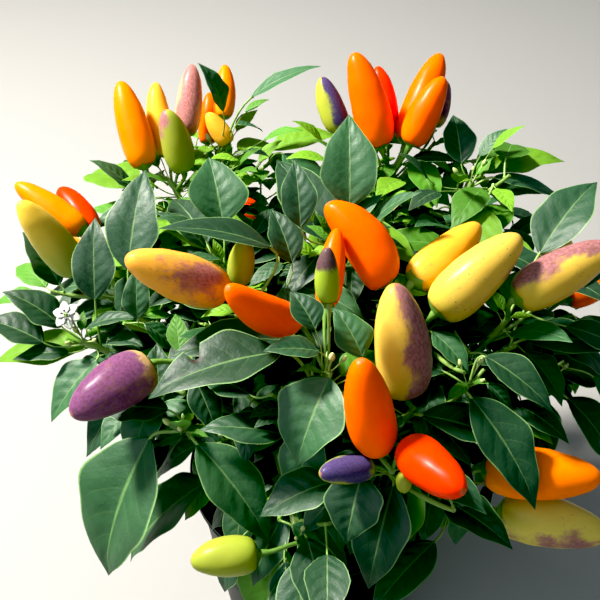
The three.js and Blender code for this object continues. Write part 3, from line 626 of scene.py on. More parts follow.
class Skins:
    """Closed sweeps gathered for one mesh: points in rings, a finish for each face, values for each point."""

    def __init__(self):
        self.points, self.corners, self.sizes, self.finishes, self.values, self.count = [], [], [], [], {}, 0

    def add(self, rings, finish=0, cells=None, **values):
        """Rings are (items, stations, around, 3). Neighbouring rings are joined and both ends closed.

        For a thin sheet, cells counts the faces round a ring that lie on its top. The faces are then
        triangles, cut the same way on top and on the underside, so that one never shows through the other.
        """
        items, stations, around, _ = rings.shape
        index = self.count + np.arange(items * stations * around).reshape(items, stations, around)
        here, there = index[:, :-1], index[:, 1:]
        faces = np.stack([here, np.roll(here, -1, 2), np.roll(there, -1, 2), there], -1)
        ends = np.stack([index[:, 0, ::-1], index[:, -1]], 1)
        finish = np.broadcast_to(finish, faces.shape[:-1])
        end_finish = finish[:, [0, -1], 0]
        if cells:
            a, b, c, d = np.moveaxis(faces, -1, 0)
            on_top = np.arange(around) < cells
            faces = np.stack([np.stack([a, b, np.where(on_top, c, d)], -1),
                              np.stack([np.where(on_top, a, b), c, d], -1)], -2)
            finish = np.repeat(finish[..., None], 2, -1)
        self.points.append(rings.reshape(-1, 3))
        self.corners += [faces.ravel(), ends.ravel()]
        self.sizes += [np.full(finish.size, faces.shape[-1]), np.full(items * 2, around)]
        self.finishes += [finish.ravel(), end_finish.ravel()]
        for name, value in values.items():
            is_vector = np.ndim(value) and np.shape(value)[-1] == 3
            value = np.broadcast_to(value, rings.shape if is_vector else rings.shape[:3])
            self.values.setdefault(name, []).append(value.reshape(-1, *value.shape[3:]))
        self.count += items * stations * around

    def piece(self, name, materials, sharp=None):
        """The gathered sweeps as one object, with edges steeper than the angle sharp kept sharp."""
        mesh = bpy.data.meshes.new(name)
        corners, sizes = np.concatenate(self.corners), np.concatenate(self.sizes)
        mesh.vertices.add(self.count)
        mesh.vertices.foreach_set("co", (np.concatenate(self.points) * MM).ravel().astype(np.float32))
        mesh.loops.add(len(corners))
        mesh.loops.foreach_set("vertex_index", corners.astype(np.int32))
        mesh.polygons.add(len(sizes))
        mesh.polygons.foreach_set("loop_start", (np.cumsum(sizes) - sizes).astype(np.int32))
        mesh.polygons.foreach_set("material_index", np.concatenate(self.finishes).astype(np.int32))
        mesh.update(calc_edges=True)
        for label, parts in self.values.items():
            value = np.concatenate(parts)
            kind, key = ("FLOAT_VECTOR", "vector") if value.ndim == 2 else ("FLOAT", "value")
            mesh.attributes.new(label, kind, "POINT").data.foreach_set(key, value.ravel().astype(np.float32))
        mesh.validate()
        mesh.shade_smooth()
        if sharp:
            mesh.set_sharp_from_angle(angle=math.radians(sharp))
        return new_object(name, mesh, materials)


def new_object(name, mesh, materials):
    """An object at the origin with its materials."""
    for material in materials:
        mesh.materials.append(material)
    piece = bpy.data.objects.new(name, mesh)
    bpy.context.scene.collection.objects.link(piece)
    return piece


def gathered(items, axes, *keys):
    """For each key, the items' values as one array, with that many axes of length one after the first."""
    for key in keys:
        values = np.array([getattr(item, key) for item in items])
        yield values.reshape(len(items), *[1] * axes, *values.shape[1:])


def circle(sides):
    """Even angles once round."""
    return 2 * np.pi * np.arange(sides) / sides


def draws(rng, count):
    """A function that draws a number between two ends for each of that many items."""
    return lambda low, high: rng.uniform(low, high, (count, 1, 1))


def ribbed(sides, depth):
    """Radii round a stalk with five soft ribs: 1 plus the depth times the cosine of five times the angle."""
    return 1 + depth * np.cos(5 * circle(sides))


def curves(start, pull_out, pull_in, end, stations):
    """Cubic curves, many at once: they leave towards pull_out and arrive from pull_in."""
    t = np.linspace(0, 1, stations)[None, :, None]
    knots = (start, pull_out, pull_in, end)
    start, pull_out, pull_in, end = (np.asarray(knot, float)[:, None] for knot in knots)
    return ((1 - t) ** 3 * start + 3 * t * (1 - t) ** 2 * pull_out
            + 3 * t ** 2 * (1 - t) * pull_in + t ** 3 * end)


def side_vectors(ahead):
    """For directions, vectors that stand level beside them, or along +X where they are steep."""
    helper = np.where(np.abs(ahead[:, 2:]) > 0.9, np.array([1.0, 0, 0]), UP)
    return unit(np.cross(helper, ahead))


def tubes(centres, radii, around):
    """Round rings along many middle lines; radii are (items, stations) or (items, stations, around).

    The side vector that the rings start from turns as little as it can from one station to the next.
    """
    ahead = unit(np.gradient(centres, axis=1))
    side = side_vectors(ahead[:, 0])
    sides = []
    for station in range(centres.shape[1]):
        side = unit(side - (side * ahead[:, station]).sum(-1, keepdims=True) * ahead[:, station])
        sides.append(side)
    side = np.stack(sides, 1)
    over, turn = np.cross(ahead, side), circle(around)[:, None]
    ring = side[:, :, None] * np.cos(turn) + over[:, :, None] * np.sin(turn)
    radii = radii if radii.ndim == 3 else radii[..., None]
    return centres[:, :, None] + ring * radii[..., None]


def smooth(low, high, value):
    """0 below low, 1 above high and an even step between."""
    t = np.clip((value - low) / (high - low), 0, 1)
    return t * t * (3 - 2 * t)


def waves(points, scale, seed, octaves=3):
    """Soft noise from -1 to 1: a mean of sine waves that run in random directions."""
    rng = np.random.default_rng(seed)
    total, weight = 0.0, 0.0
    for octave in range(octaves):
        for _ in range(5):
            way = unit(rng.normal(size=3)) * 2 * np.pi / scale * 2 ** octave * rng.uniform(0.7, 1.3)
            total = total + np.sin(points @ way + rng.uniform(0, 6.3)) / 2 ** octave
            weight += 0.5 / 2 ** octave
    return total / weight


# Leaves

COLUMNS = {
    "large": np.array([-1, -0.82, -0.58, -0.32, -0.09, 0.09, 0.32, 0.58, 0.82, 1]),
    "seeded": np.array([-1, -0.55, -0.08, 0.08, 0.55, 1]),
    "small": np.array([-1, -0.5, 0, 0.5, 1]),
}
STATIONS = {"large": 27, "seeded": 18, "small": 9}
LEAF_PEAK, LEAF_SHOULDER, LEAF_TAPER = 0.36, 0.72, 1.05
FOLDS = {"large": (1.7, 2.7), "seeded": (0.9, 1.9), "small": (0.9, 1.9)}
BITE_AT, BITE_LENGTH = 0.60, 0.045


def leaf_share(u):
    """Half width of a leaf as a share of its widest: round shoulders, then a long taper to a fine tip."""
    before = np.sin(np.pi / 2 * np.clip(u / LEAF_PEAK, 0, 1)) ** LEAF_SHOULDER
    beyond = np.cos(np.pi / 2 * np.clip((u - LEAF_PEAK) / (1 - LEAF_PEAK), 0, 1)) ** LEAF_TAPER
    return np.where(u < LEAF_PEAK, before, beyond)


def leaf_rings(blades, rank, seed):
    """Thin closed shells for many leaves at once.

    At share u of the length and v of the half width, a point lies on the arched rib, out by the half width
    times v, and up by the fold times |v|, by waves near the margin and by half the thickness. A bite takes a
    bell-shaped share off one half.
    """
    v, rng = COLUMNS[rank], np.random.default_rng(seed)
    vary = draws(rng, len(blades))
    u = np.clip(np.linspace(0, 1, STATIONS[rank]) ** 1.3, 0.006, 0.996)[None, :, None]
    top = np.concatenate([np.ones(len(v)), -np.ones(len(v) - 2)])
    v = np.concatenate([v, v[-2:0:-1]])
    base, forward, across, face, length, width, bite = gathered(
        blades, 2, "base", "forward", "across", "face", "length", "width", "bite")
    half = width / 2 * leaf_share(u) * (1 + 0.05 * np.sin(2 * np.pi * (u * vary(1.5, 3) + vary(0, 1)) + v))
    ragged = BITE_LENGTH + 0.012 * np.sin(90 * u)
    half = half * (1 - bite * smooth(0.2, 0.7, v) * np.exp(-((u - BITE_AT) / ragged) ** 4))
    half = np.maximum(half, 0.45 * (1 - u) + 0.1)
    fold = LEAF["fold"] * vary(*FOLDS[rank]) * (np.sqrt(v ** 2 + 0.012) - 0.11)
    swell = -0.10 * vary(0.3, 1.2) * np.abs(v) ** 2.4 + 0.06 * np.sin(np.pi * np.abs(v)) * vary(0.4, 1.2)
    ripple = (vary(0.02, 0.07) * v ** 2 * np.sign(v) ** rng.integers(0, 2, (len(blades), 1, 1))
              * np.sin(2 * np.pi * (u * vary(1.6, 3.0) + vary(0, 1))))
    arch = LEAF["arch"] * vary(0.85, 1.25) * 4 * u * (1 - u) - vary(0.0, 0.05) * smooth(0.72, 1.0, u) ** 2
    thick = (0.16 + 0.75 * np.exp(-26 * u)) * (1 - np.abs(v) ** 6)
    rib = 0.55 * (1 - u) * np.exp(-(v / 0.13) ** 2)
    twist = vary(-0.08, 0.08) * u
    level, rise = half * v, half * (fold + swell + ripple)
    out = level * np.cos(twist) - rise * np.sin(twist)
    up = (rise * np.cos(twist) + level * np.sin(twist) + length * arch
          + np.where(top > 0, thick / 2, -thick / 2 - rib))
    rings = base + forward * (length * u)[..., None] + across * out[..., None] + face * up[..., None]
    attribute = np.stack(np.broadcast_arrays(v, u, vary(0, 1)), -1)
    worn = bite * smooth(0.1, 0.6, v) * np.exp(-((u - BITE_AT) / (1.2 * ragged)) ** 4)
    return rings, attribute, worn


def add_leaves(skins, blades, rank, seed):
    """Leaf shells with their finish: the top of each leaf has its own green, and undersides are pale."""
    blades = [blade for blade in blades if blade.rank == rank
              or (rank == "small" and blade.rank in ("young", "sprig"))]
    if not blades:
        return
    rings, attribute, worn = leaf_rings(blades, rank, seed)
    rng = np.random.default_rng(seed + 1)
    greens = np.array([choose_green(blade, rng) for blade in blades])[:, None, None]
    cells = len(COLUMNS[rank]) - 1
    finish = np.where(np.arange(rings.shape[2]) < cells, greens, len(GREENS))
    skins.add(rings, finish, cells, blade=attribute, worn=worn)


# Shares of the four greens, from deep to young. Towards the back top of the crown the mix moves from the
# front shares to the backlit shares: those lighter greens are painted light shining through the leaves from
# behind. The sprigs take light greens partly as young leaves and partly as the same painted backlight.
SPRIG_SHARES = np.array([0.02, 0.06, 0.30, 0.62])
FRONT_SHARES = np.array([0.58, 0.32, 0.09, 0.01])
BACKLIT_SHARES = np.array([0.03, 0.14, 0.40, 0.43])


def choose_green(blade, rng):
    """The number of a leaf's green: young leaves are the lightest, and towards the back top of the crown
    leaves get lighter greens as painted backlight.
    """
    if blade.rank == "young":
        return 3 if rng.random() < 0.4 else 2
    if blade.rank == "large":
        return 0 if rng.random() < 0.7 else 1
    if blade.rank == "sprig":
        return rng.choice(4, p=SPRIG_SHARES)
    # painted backlight: towards the back top the greens turn lighter, as if the sun shone through the leaves
    # from behind
    back = float(smooth(-10, 80, blade.base[1]) * smooth(165, 205, blade.base[2]))
    return rng.choice(4, p=(1 - back) * FRONT_SHARES + back * BACKLIT_SHARES)


# Fruit

POD_PEAK, POD_SHOULDER, POD_TAPER = 0.357, 0.25, 0.48
POD_STATIONS, POD_AROUND = 24, 24


def pod_share(s):
    """Radius of a fruit as a share of its widest: a blunt shoulder and a long taper to a round tip."""
    s = np.clip(s, 0, 1)
    return (s / POD_PEAK) ** POD_SHOULDER * ((1 - s) / (1 - POD_PEAK)) ** POD_TAPER


def pod_axes(pods, axes):
    """For many fruit: seat, direction, two side vectors, length and radius."""
    seat, forward, length, radius = gathered(pods, axes, "seat", "forward", "length", "radius")
    side = side_vectors(forward.reshape(-1, 3)).reshape(forward.shape)
    return seat, forward, side, np.cross(forward, side), length, radius


def add_pods(skins, pods, seed):
    """Fruit bodies: rings of the fruit's profile on a slightly bowed axis, with soft lobes and dents.

    The blush is full where the skin faces its side and fades from there, and some skins fade at an end too.
    """
    vary = draws(np.random.default_rng(seed), len(pods))
    seat, forward, side, over, length, radius = pod_axes(pods, 2)
    bow, blush_side, strength, skin = gathered(pods, 2, "bow", "blush_side", "blush", "skin")
    s = (0.5 - 0.5 * np.cos(np.linspace(0.06, 1, POD_STATIONS) * np.pi)) ** 0.92
    s = np.clip(s, 0.004, 0.9985)[None, :, None]
    turn = circle(POD_AROUND)[None, None]
    lobes = 1 + vary(0.01, 0.035) * np.cos(vary(2.6, 3.4).round() * turn + vary(0, 6.3)) * (1 - 0.8 * s)
    lobes = lobes + vary(0.005, 0.02) * np.cos(2 * turn + vary(0, 6.3) + 5 * s)
    ring = side * np.cos(turn)[..., None] + over * np.sin(turn)[..., None]
    centre = seat + forward * (length * s)[..., None] + bow * (4 * s * (1 - s))[..., None]
    rings = centre + ring * (radius * pod_share(s) * lobes)[..., None]
    rings = rings + ring * (0.018 * radius * waves(rings, 9, seed + 2, 2))[..., None]
    facing = (ring * blush_side).sum(-1)
    edge, uneven = 1.05 - strength, 0.30 * waves(rings, 16, seed + 3, 2)
    blush = np.minimum(1, 2 * strength) * smooth(edge, edge + 0.7, facing + uneven)
    root = smooth(-0.02, 0.24, s)
    for name, share in (("lime", smooth(0.3, 0.8, s)), ("honey", smooth(0.92, 0.6, s) * smooth(0.0, 0.34, s)),
                        ("indigo", root)):
        blush = blush * np.where(skin == name, share, 1)
    blush = np.where(skin == "tipped", smooth(0.5, 0.74, s), blush)
    blush = np.where(skin == "plum", strength * smooth(-1.3, -0.4, facing) * root, blush)
    finish = np.array([list(SKINS).index(pod.skin) for pod in pods])[:, None, None]
    skins.add(rings, finish, blush=blush,
              skin=np.stack(np.broadcast_arrays(np.cos(turn), np.sin(turn), s + 0 * length), -1))


# Wood and stalks

def add_stems(skins, plant, masses):
    """Stems with faint ribs, and side twigs."""
    paths = [path for m, _, path, _ in plant.stems if m in masses]
    t = np.linspace(0, 1, 22)
    centres = np.array([path.along(t) for path in paths])
    radii = (STEM["root"] + (STEM["tip"] - STEM["root"]) * t)[:, None] * ribbed(12, 0.07)
    skins.add(tubes(centres, radii * (1 + 0.06 * waves(centres, 14, 5)[..., None]), 12), 0)
    start, end = (np.array(ends) for ends in zip(*[twig for m, twig in plant.twigs if m in masses]))
    sag = -0.10 * np.linalg.norm(end - start, axis=1, keepdims=True) * UP
    centres = curves(start, start + (end - start) * 0.3 + sag, start + (end - start) * 0.7 + sag, end, 8)
    skins.add(tubes(centres, np.linspace(1.15, 0.85, 8)[None], 8), 0)


def add_petioles(skins, blades):
    """Leaf stalks: each leaves its stem on the way out and runs into the rib of its blade."""
    start, base, forward, face, length = gathered(blades, 0, "start", "base", "forward", "face", "length")
    size = np.clip(length / 40, 0.45, 1.3)[:, None]
    gap = np.linalg.norm(base - start, axis=1, keepdims=True)
    rib_way = unit(forward + face * LEAF["arch"] * 4)
    centres = curves(start, start + (base - start) * 0.4 - UP * gap * 0.08, base - rib_way * gap * 0.35,
                     base + rib_way * 0.9, 8)
    radii = size * np.linspace(0.62, 0.52, 8)
    radii[:, 0] *= 1.35
    skins.add(tubes(centres, radii, 7), 1)


# The fruit's cup: stations from its seat as shares of the length, and their radii as shares of the fruit's
CUP = {"along": [-0.030, -0.024, -0.016, -0.008, -0.001, 0.005, 0.011],
       "radius": [0.15, 0.21, 0.30, 0.38, 0.44, 0.48, 0.51], "tooth": 0.020, "thick": 0.42}


def add_pedicels(skins, pods):
    """Fruit stalks: ribbed, and thicker towards the fruit's cup, which ends in five low teeth."""
    seat, forward, side, over, length, radius = pod_axes(pods, 0)
    start, = gathered(pods, 0, "start")
    length, radius = length[:, None, None], radius[:, None, None]
    gap = np.linalg.norm(seat - start, axis=1, keepdims=True)
    centres = curves(start, start + (seat - start) * 0.45, seat - forward * gap * 0.4,
                     seat - forward * 0.4, 11)
    t = np.linspace(0, 1, 11)[:, None]
    radii = (0.85 + 0.2 * t + 0.75 * smooth(0.72, 1, t)) * ribbed(10, 0.07)
    skins.add(tubes(centres, radii * np.clip(radius / 8, 0.6, 1.15), 10), 2)

    turn = circle(30)
    last = np.arange(7)[:, None] == 6
    teeth = last * np.maximum(0, np.cos(5 * turn)) ** 2 * CUP["tooth"]
    along = length * (np.array(CUP["along"])[:, None] + teeth)
    least = radius * np.array(CUP["radius"])[:, None] + 0 * along
    outer = np.where(along > 0, radius * pod_share(along / length) + CUP["thick"], least)
    outer = np.maximum(outer, least)
    inner = outer[:, [6, 4]] - np.array([0.45, 1.3])[:, None]
    along = np.concatenate([along, along[:, [6, 4]] - 0.1], 1)[..., None]
    reach = np.concatenate([outer, inner], 1)[..., None]
    seat, forward, side, over = (vectors[:, None, None] for vectors in (seat, forward, side, over))
    ring = side * np.cos(turn)[:, None] + over * np.sin(turn)[:, None]
    skins.add(seat + forward * along + ring * reach, 3)


def add_buds(skins, buds):
    """Closed buds: small pointed bodies on thin stalks."""
    start, tip = np.array([b[1] for b in buds]), np.array([b[2] for b in buds])
    size = np.array([b[3] for b in buds])[:, None]
    way = unit(tip - start + UP * 3)
    centres = curves(start, start + (tip - start) * 0.4, tip - way * 2, tip, 6)
    skins.add(tubes(centres, size * np.array([0.28, 0.26, 0.25, 0.27, 0.34, 0.5]), 6), 0)
    s = np.linspace(0, 1, 9)
    centres = tip[:, None] + way[:, None] * (size * (s * 3.0 - 0.3))[..., None]
    profile = np.maximum(0.04, np.sqrt(np.maximum(0, 1 - (2 * s - 0.9) ** 2 / 1.21)) * (1 - 0.35 * s))
    skins.add(tubes(centres, size * profile, 10), np.where(np.arange(8)[:, None] < 3, 0, 1)[None])


def add_flowers(skins, flowers):
    """Open flowers: six pointed petals, a green cup, a ring of pollen sacs and a pin, on thin stalks.

    At share u of a petal's length and v of its half width, a point lies out by u and sideways by v times a
    sine of u, and it curls back by the square of u. Finishes: petal, pollen sac, green.
    """
    turn = np.radians(60 * np.arange(6) + 8)[:, None, None, None]
    u = np.linspace(0.0, 0.985, 9)[None, :, None, None]
    v = np.array([-1, -0.5, 0, 0.5, 1, 0.5, 0, -0.5])[None, None, :, None]
    top = np.array([0, 1, 1, 1, 0, -1, -1, -1])[None, None, :, None]
    for start, centre, way in flowers:
        side = unit(np.cross(way, UP))
        over = np.cross(side, way)
        ray, across = side * np.cos(turn) + over * np.sin(turn), over * np.cos(turn) - side * np.sin(turn)
        half = 2.3 * np.sin(np.pi * (0.16 + 0.84 * u)) ** 0.8 + 0.08
        lift = 0.9 * u - 1.5 * u ** 2.2 + 0.45 * np.abs(v) * half * 0.5 + 0.13 * top
        skins.add(centre + ray * (0.5 + 6.2 * u) + across * half * v + way * lift, 0)
        root, ray = centre - way * 1.6, ray[:, 0, 0]
        stalk = curves([start], [start + (root - start) * 0.5], [root - way * 4], [root], 9)
        skins.add(tubes(stalk, np.linspace(0.45, 0.55, 9)[None], 7), 2)
        sacs = (centre + ray * 1.4 + way * 0.6)[:, None] + (way * 1.1 + ray * 0.35)[:, None] * np.linspace(
            0, 2, 7)[:, None]
        skins.add(tubes(sacs, np.array([[0.16, 0.16, 0.2, 0.5, 0.55, 0.42, 0.1]]), 7), 1)
        for foot, low, high, radii, around in (
                (root, -0.6, 2.0, [0.5, 1.0, 1.3, 1.35, 1.3, 1.0], 10),
                (centre, 0.2, 3.4, [0.6, 0.35, 0.22, 0.22, 0.34, 0.12], 7)):
            line = foot + way * np.linspace(low, high, 6)[:, None]
            skins.add(tubes(line[None], np.array([radii]), around), 2)


# Materials

class Nodes:
    """Short hand for building a node tree."""

    def __init__(self, tree):
        self.tree = tree

    def add(self, kind, *values, **settings):
        """A node, with values or sockets for its first inputs, or by name in a dictionary."""
        node = self.tree.nodes.new("ShaderNode" + kind)
        named = settings.pop("inputs", {})
        for key, value in settings.items():
            setattr(node, key, value)
        for key, value in [*enumerate(values), *named.items()]:
            self.feed(node.inputs[key], value)
        return node

    def feed(self, socket, value):
        """A socket linked or set. Colours get full opacity, and None leaves the socket as it is."""
        if isinstance(value, bpy.types.NodeSocket):
            self.tree.links.new(value, socket)
        elif value is not None:
            socket.default_value = (*value, 1.0) if socket.type == "RGBA" and len(value) == 3 else value

    def math(self, operation, a, b=None, c=None):
        """One sum, by the name of its operation."""
        return self.add("Math", a, b, c, operation=operation).outputs[0]

    def times(self, a, b):
        return self.math("MULTIPLY", a, b)

    def plus(self, a, b):
        return self.math("ADD", a, b)

    def line(self, value, slope, offset):
        """The value times the slope, plus the offset."""
        return self.math("MULTIPLY_ADD", value, slope, offset)

    def mix(self, factor, a, b):
        """The colour a where the factor is 0, b where it is 1."""
        node = self.add("Mix", data_type="RGBA")
        for index, value in ((0, factor), (6, a), (7, b)):
            self.feed(node.inputs[index], value)
        return node.outputs[2]

    def step(self, value, low, high, bottom=0.0, top=1.0):
        """A smooth step from bottom to top as the value goes from low to high."""
        return self.add("MapRange", value, low, high, bottom, top, interpolation_type="SMOOTHSTEP").outputs[0]

    def noise(self, place, scale, detail=3.0, roughness=0.5):
        """Soft noise from 0 to 1 with that many features over a length of one."""
        return self.add("TexNoise", inputs={"Vector": place, "Scale": scale, "Detail": detail,
                                            "Roughness": roughness}).outputs[0]

    def stretched(self, place, *size):
        """A place multiplied along each axis."""
        return self.add("VectorMath", place, size, operation="MULTIPLY").outputs[0]

    def part(self, vector, index):
        """One number of a vector."""
        return self.add("SeparateXYZ", vector).outputs[index]

    def attribute(self, name, output="Fac"):
        """A value that the mesh holds for each point."""
        return self.add("Attribute", attribute_name=name).outputs[output]

    def bump(self, height, strength, distance):
        """Normals tilted by a height."""
        node = self.add("Bump", inputs={"Height": height, "Strength": strength, "Distance": distance})
        return node.outputs[0]

    def use(self, tree, **inputs):
        """A node group in use."""
        node = self.tree.nodes.new("ShaderNodeGroup")
        node.node_tree = tree
        for label, value in inputs.items():
            self.feed(node.inputs[label.replace("_", " ")], value)
        return node.outputs

    def tone(self, colour, place, scale, spread, number=None, leaf_spread=None):
        """A colour made uneven by the shared group."""
        return self.use(TONE, Colour=colour, Place=place, Scale=scale, Spread=spread, Random=number,
                        Leaf_Spread=leaf_spread)["Colour"]

    def surface(self, colour, roughness, normal=None, **inputs):
        """The main surface, with other inputs by name."""
        named = {"Base Color": colour, "Roughness": roughness, "Normal": normal}
        named.update({key.replace("_", " "): value for key, value in inputs.items()})
        return self.add("BsdfPrincipled", inputs=named).outputs[0]

    def let_through(self, share, face, colour, normal=None):
        """A surface that lets a share of the light through, in a colour."""
        light = self.add("BsdfTranslucent", colour, normal).outputs[0]
        return self.add("MixShader", share, face, light).outputs[0]


def group(name, inputs, outputs, build):
    """A node group with named inputs and outputs. Kinds are Float, Vector and Color."""
    tree = bpy.data.node_groups.new(name, "ShaderNodeTree")
    for label, kind, *default in inputs:
        socket = tree.interface.new_socket(label, in_out="INPUT", socket_type="NodeSocket" + kind)
        for value in default:
            socket.default_value = value
    for label, kind in outputs:
        tree.interface.new_socket(label, in_out="OUTPUT", socket_type="NodeSocket" + kind)
    nodes = Nodes(tree)
    source, result = tree.nodes.new("NodeGroupInput"), tree.nodes.new("NodeGroupOutput")
    for label, socket in build(nodes, source.outputs).items():
        tree.links.new(socket, result.inputs[label])
    return tree


def build_veins(nodes, given):
    """Rib, side veins and pale margin of a leaf, and the height of its softly quilted face.

    Side veins leave the rib at steps of the length and sweep forward on their way to the margin.
    """
    across, along = nodes.part(given["Blade"], 0), nodes.part(given["Blade"], 1)
    out = nodes.math("ABSOLUTE", across)
    rib = nodes.step(out, nodes.line(along, -0.05, 0.075), 0.015)
    sweep = nodes.times(nodes.math("POWER", out, 1.35), 0.22)
    shift = nodes.step(across, -0.01, 0.01, 0.0, 0.4)
    phase = nodes.line(nodes.math("SUBTRACT", along, sweep), 6.2, shift)
    saw = nodes.math("ABSOLUTE", nodes.math("SUBTRACT", nodes.math("FRACT", phase), 0.5))
    veins = nodes.times(nodes.step(saw, 0.055, 0.0), nodes.step(out, 0.92, 0.5))
    quilt = nodes.times(nodes.step(saw, 0.0, 0.5), nodes.step(out, 0.95, 0.3))
    return {"Rib": rib, "Veins": veins, "Margin": nodes.step(out, 0.93, 0.99), "Quilt": quilt}


def build_tone(nodes, given):
    """A colour made lighter and darker by soft noise, and as a whole by a number for each leaf."""
    noise = nodes.noise(given["Place"], given["Scale"], 4.0, 0.6)
    swing = nodes.times(nodes.math("SUBTRACT", noise, 0.5), given["Spread"])
    whole = nodes.times(nodes.math("SUBTRACT", given["Random"], 0.5), given["Leaf Spread"])
    factor = nodes.plus(nodes.plus(1.0, swing), whole)
    colour = nodes.add("VectorMath", given["Colour"], operation="SCALE", inputs={"Scale": factor})
    return {"Colour": colour.outputs[0]}


def build_blush(nodes, given):
    """A soft mask broken up by blotches that run along the fruit and by fine speckles."""
    blotches = nodes.noise(nodes.stretched(given["Skin"], 1.6, 1.6, 5.0), 1.0, 6.0, 0.68)
    specks = nodes.noise(nodes.stretched(given["Skin"], 9.0, 9.0, 30.0), 1.0, 2.0)
    uneven = nodes.plus(nodes.line(blotches, 2.6, -1.3), nodes.line(specks, 0.9, -0.45))
    between = nodes.times(nodes.times(given["Blush"], nodes.math("SUBTRACT", 1.06, given["Blush"])), 3.0)
    return {"Mask": nodes.step(nodes.line(uneven, between, given["Blush"]), 0.18, 0.95), "Specks": specks}


VEINS = group("leaf veins", [("Blade", "Vector")],
              [("Rib", "Float"), ("Veins", "Float"), ("Margin", "Float"), ("Quilt", "Float")], build_veins)
TONE = group("uneven tone",
             [("Colour", "Color"), ("Place", "Vector"), ("Scale", "Float", 100.0), ("Spread", "Float", 0.4),
              ("Random", "Float", 0.5), ("Leaf Spread", "Float", 0.0)],
             [("Colour", "Color")], build_tone)
BLUSH = group("purple blush", [("Skin", "Vector"), ("Blush", "Float", 0.0)],
              [("Mask", "Float"), ("Specks", "Float")], build_blush)


def material(name, shade):
    """A material whose surface is built by shade(nodes, place), where place holds Object coordinates."""
    made = bpy.data.materials.new(name)
    made.use_nodes = True
    made.node_tree.nodes.clear()
    nodes = Nodes(made.node_tree)
    place = nodes.add("TexCoord").outputs["Object"]
    nodes.add("OutputMaterial", shade(nodes, place))
    return made


def leaf_top(colour, through, rough, gloss=0.50, bloom=0.10, thin=0.24):
    """A glossy leaf face with a waxy bloom, sunk veins, a paler rib, a pale margin that is partly the leaf's
    own edge and partly a painted edge highlight, and some light through it.
    """
    def shade(nodes, place):
        blade = nodes.attribute("blade", "Vector")
        veins = nodes.use(VEINS, Blade=blade)
        plain = nodes.tone(colour, place, 170.0, 0.5, nodes.part(blade, 2), 0.5)
        pale = tuple(0.4 * c + 0.6 * p for c, p in zip(colour, (0.20, 0.36, 0.11)))
        veined = nodes.mix(nodes.times(veins["Veins"], 0.20), plain, pale)
        ribbed = nodes.mix(nodes.times(veins["Rib"], 0.85), veined, pale)
        # pale margin line: partly the leaf's own pale edge, partly a painted highlight along it
        lined = nodes.mix(nodes.times(veins["Margin"], 0.8), ribbed, (0.24, 0.42, 0.14))
        edged = nodes.mix(nodes.step(nodes.attribute("worn"), 0.15, 0.32), lined, (0.020, 0.012, 0.006))
        fine = nodes.line(nodes.noise(place, 1600.0, 2.0), 0.12, nodes.noise(place, 380.0, 3.0, 0.6))
        height = nodes.plus(fine, nodes.line(veins["Quilt"], 0.6, nodes.times(veins["Rib"], -0.4)))
        normal = nodes.bump(height, 0.45, 0.0007)
        roughness = nodes.line(nodes.noise(place, 260.0), 0.2, rough)
        face = nodes.surface(edged, roughness, normal, Specular_IOR_Level=gloss, Coat_Weight=bloom,
                             Coat_Roughness=0.55, Coat_IOR=1.6)
        return nodes.let_through(thin, face, through, normal)
    return shade


def leaf_underside(nodes, place):
    """A dull pale underside with raised veins."""
    blade = nodes.attribute("blade", "Vector")
    veins = nodes.use(VEINS, Blade=blade)
    plain = nodes.tone((0.10, 0.19, 0.065), place, 200.0, 0.35, nodes.part(blade, 2), 0.35)
    lines = nodes.math("MAXIMUM", veins["Veins"], veins["Rib"])
    veined = nodes.mix(nodes.times(lines, 0.6), plain, (0.22, 0.34, 0.13))
    height = nodes.math("SUBTRACT", nodes.times(nodes.noise(place, 800.0, 2.0), 0.2), veins["Quilt"])
    normal = nodes.bump(height, 0.5, 0.0005)
    face = nodes.surface(veined, 0.62, normal, Specular_IOR_Level=0.4)
    return nodes.let_through(0.25, face, (0.22, 0.42, 0.05), normal)


def fruit_skin(colour, shoulder, blush=(0.13, 0.018, 0.085), freckles=0.0, green=0.42):
    """A glossy waxy skin: another colour at the shoulder, a dry scar at the tip, a blush and freckles."""
    def shade(nodes, place):
        skin = nodes.attribute("skin", "Vector")
        along = nodes.part(skin, 2)
        plain = nodes.tone(colour, place, 75.0, 0.34)
        toned = nodes.mix(nodes.step(along, green, 0.02, 0.0, 0.75), plain, shoulder)
        flush = nodes.use(BLUSH, Skin=skin, Blush=nodes.attribute("blush"))
        lighter = tuple(1.7 * c + 0.01 for c in blush)
        shaded = nodes.mix(nodes.step(flush["Specks"], 0.35, 0.65), blush, lighter)
        blushed = nodes.mix(nodes.times(flush["Mask"], 0.9), toned, shaded)
        if freckles:
            dots = nodes.times(nodes.step(nodes.noise(place, 850.0, 2.0, 0.6), 0.60, 0.70),
                               nodes.step(nodes.noise(place, 110.0), 0.46, 0.62, 0.0, freckles))
            blushed = nodes.mix(dots, blushed, blush)
        scarred = nodes.mix(nodes.step(along, 0.985, 0.995, 0.0, 0.6), blushed, (0.36, 0.15, 0.06))
        height = nodes.line(nodes.noise(place, 1500.0, 1.0), 0.05, nodes.noise(place, 120.0, 2.0))
        return nodes.surface(scarred, nodes.line(nodes.noise(place, 300.0), 0.14, 0.28),
                             nodes.bump(height, 0.18, 0.0012), Coat_Weight=0.02, Coat_Roughness=0.16,
                             Specular_IOR_Level=0.09, Subsurface_Weight=0.20, Subsurface_Scale=0.002,
                             Subsurface_Radius=(1.0, 0.6, 0.3))
    return shade


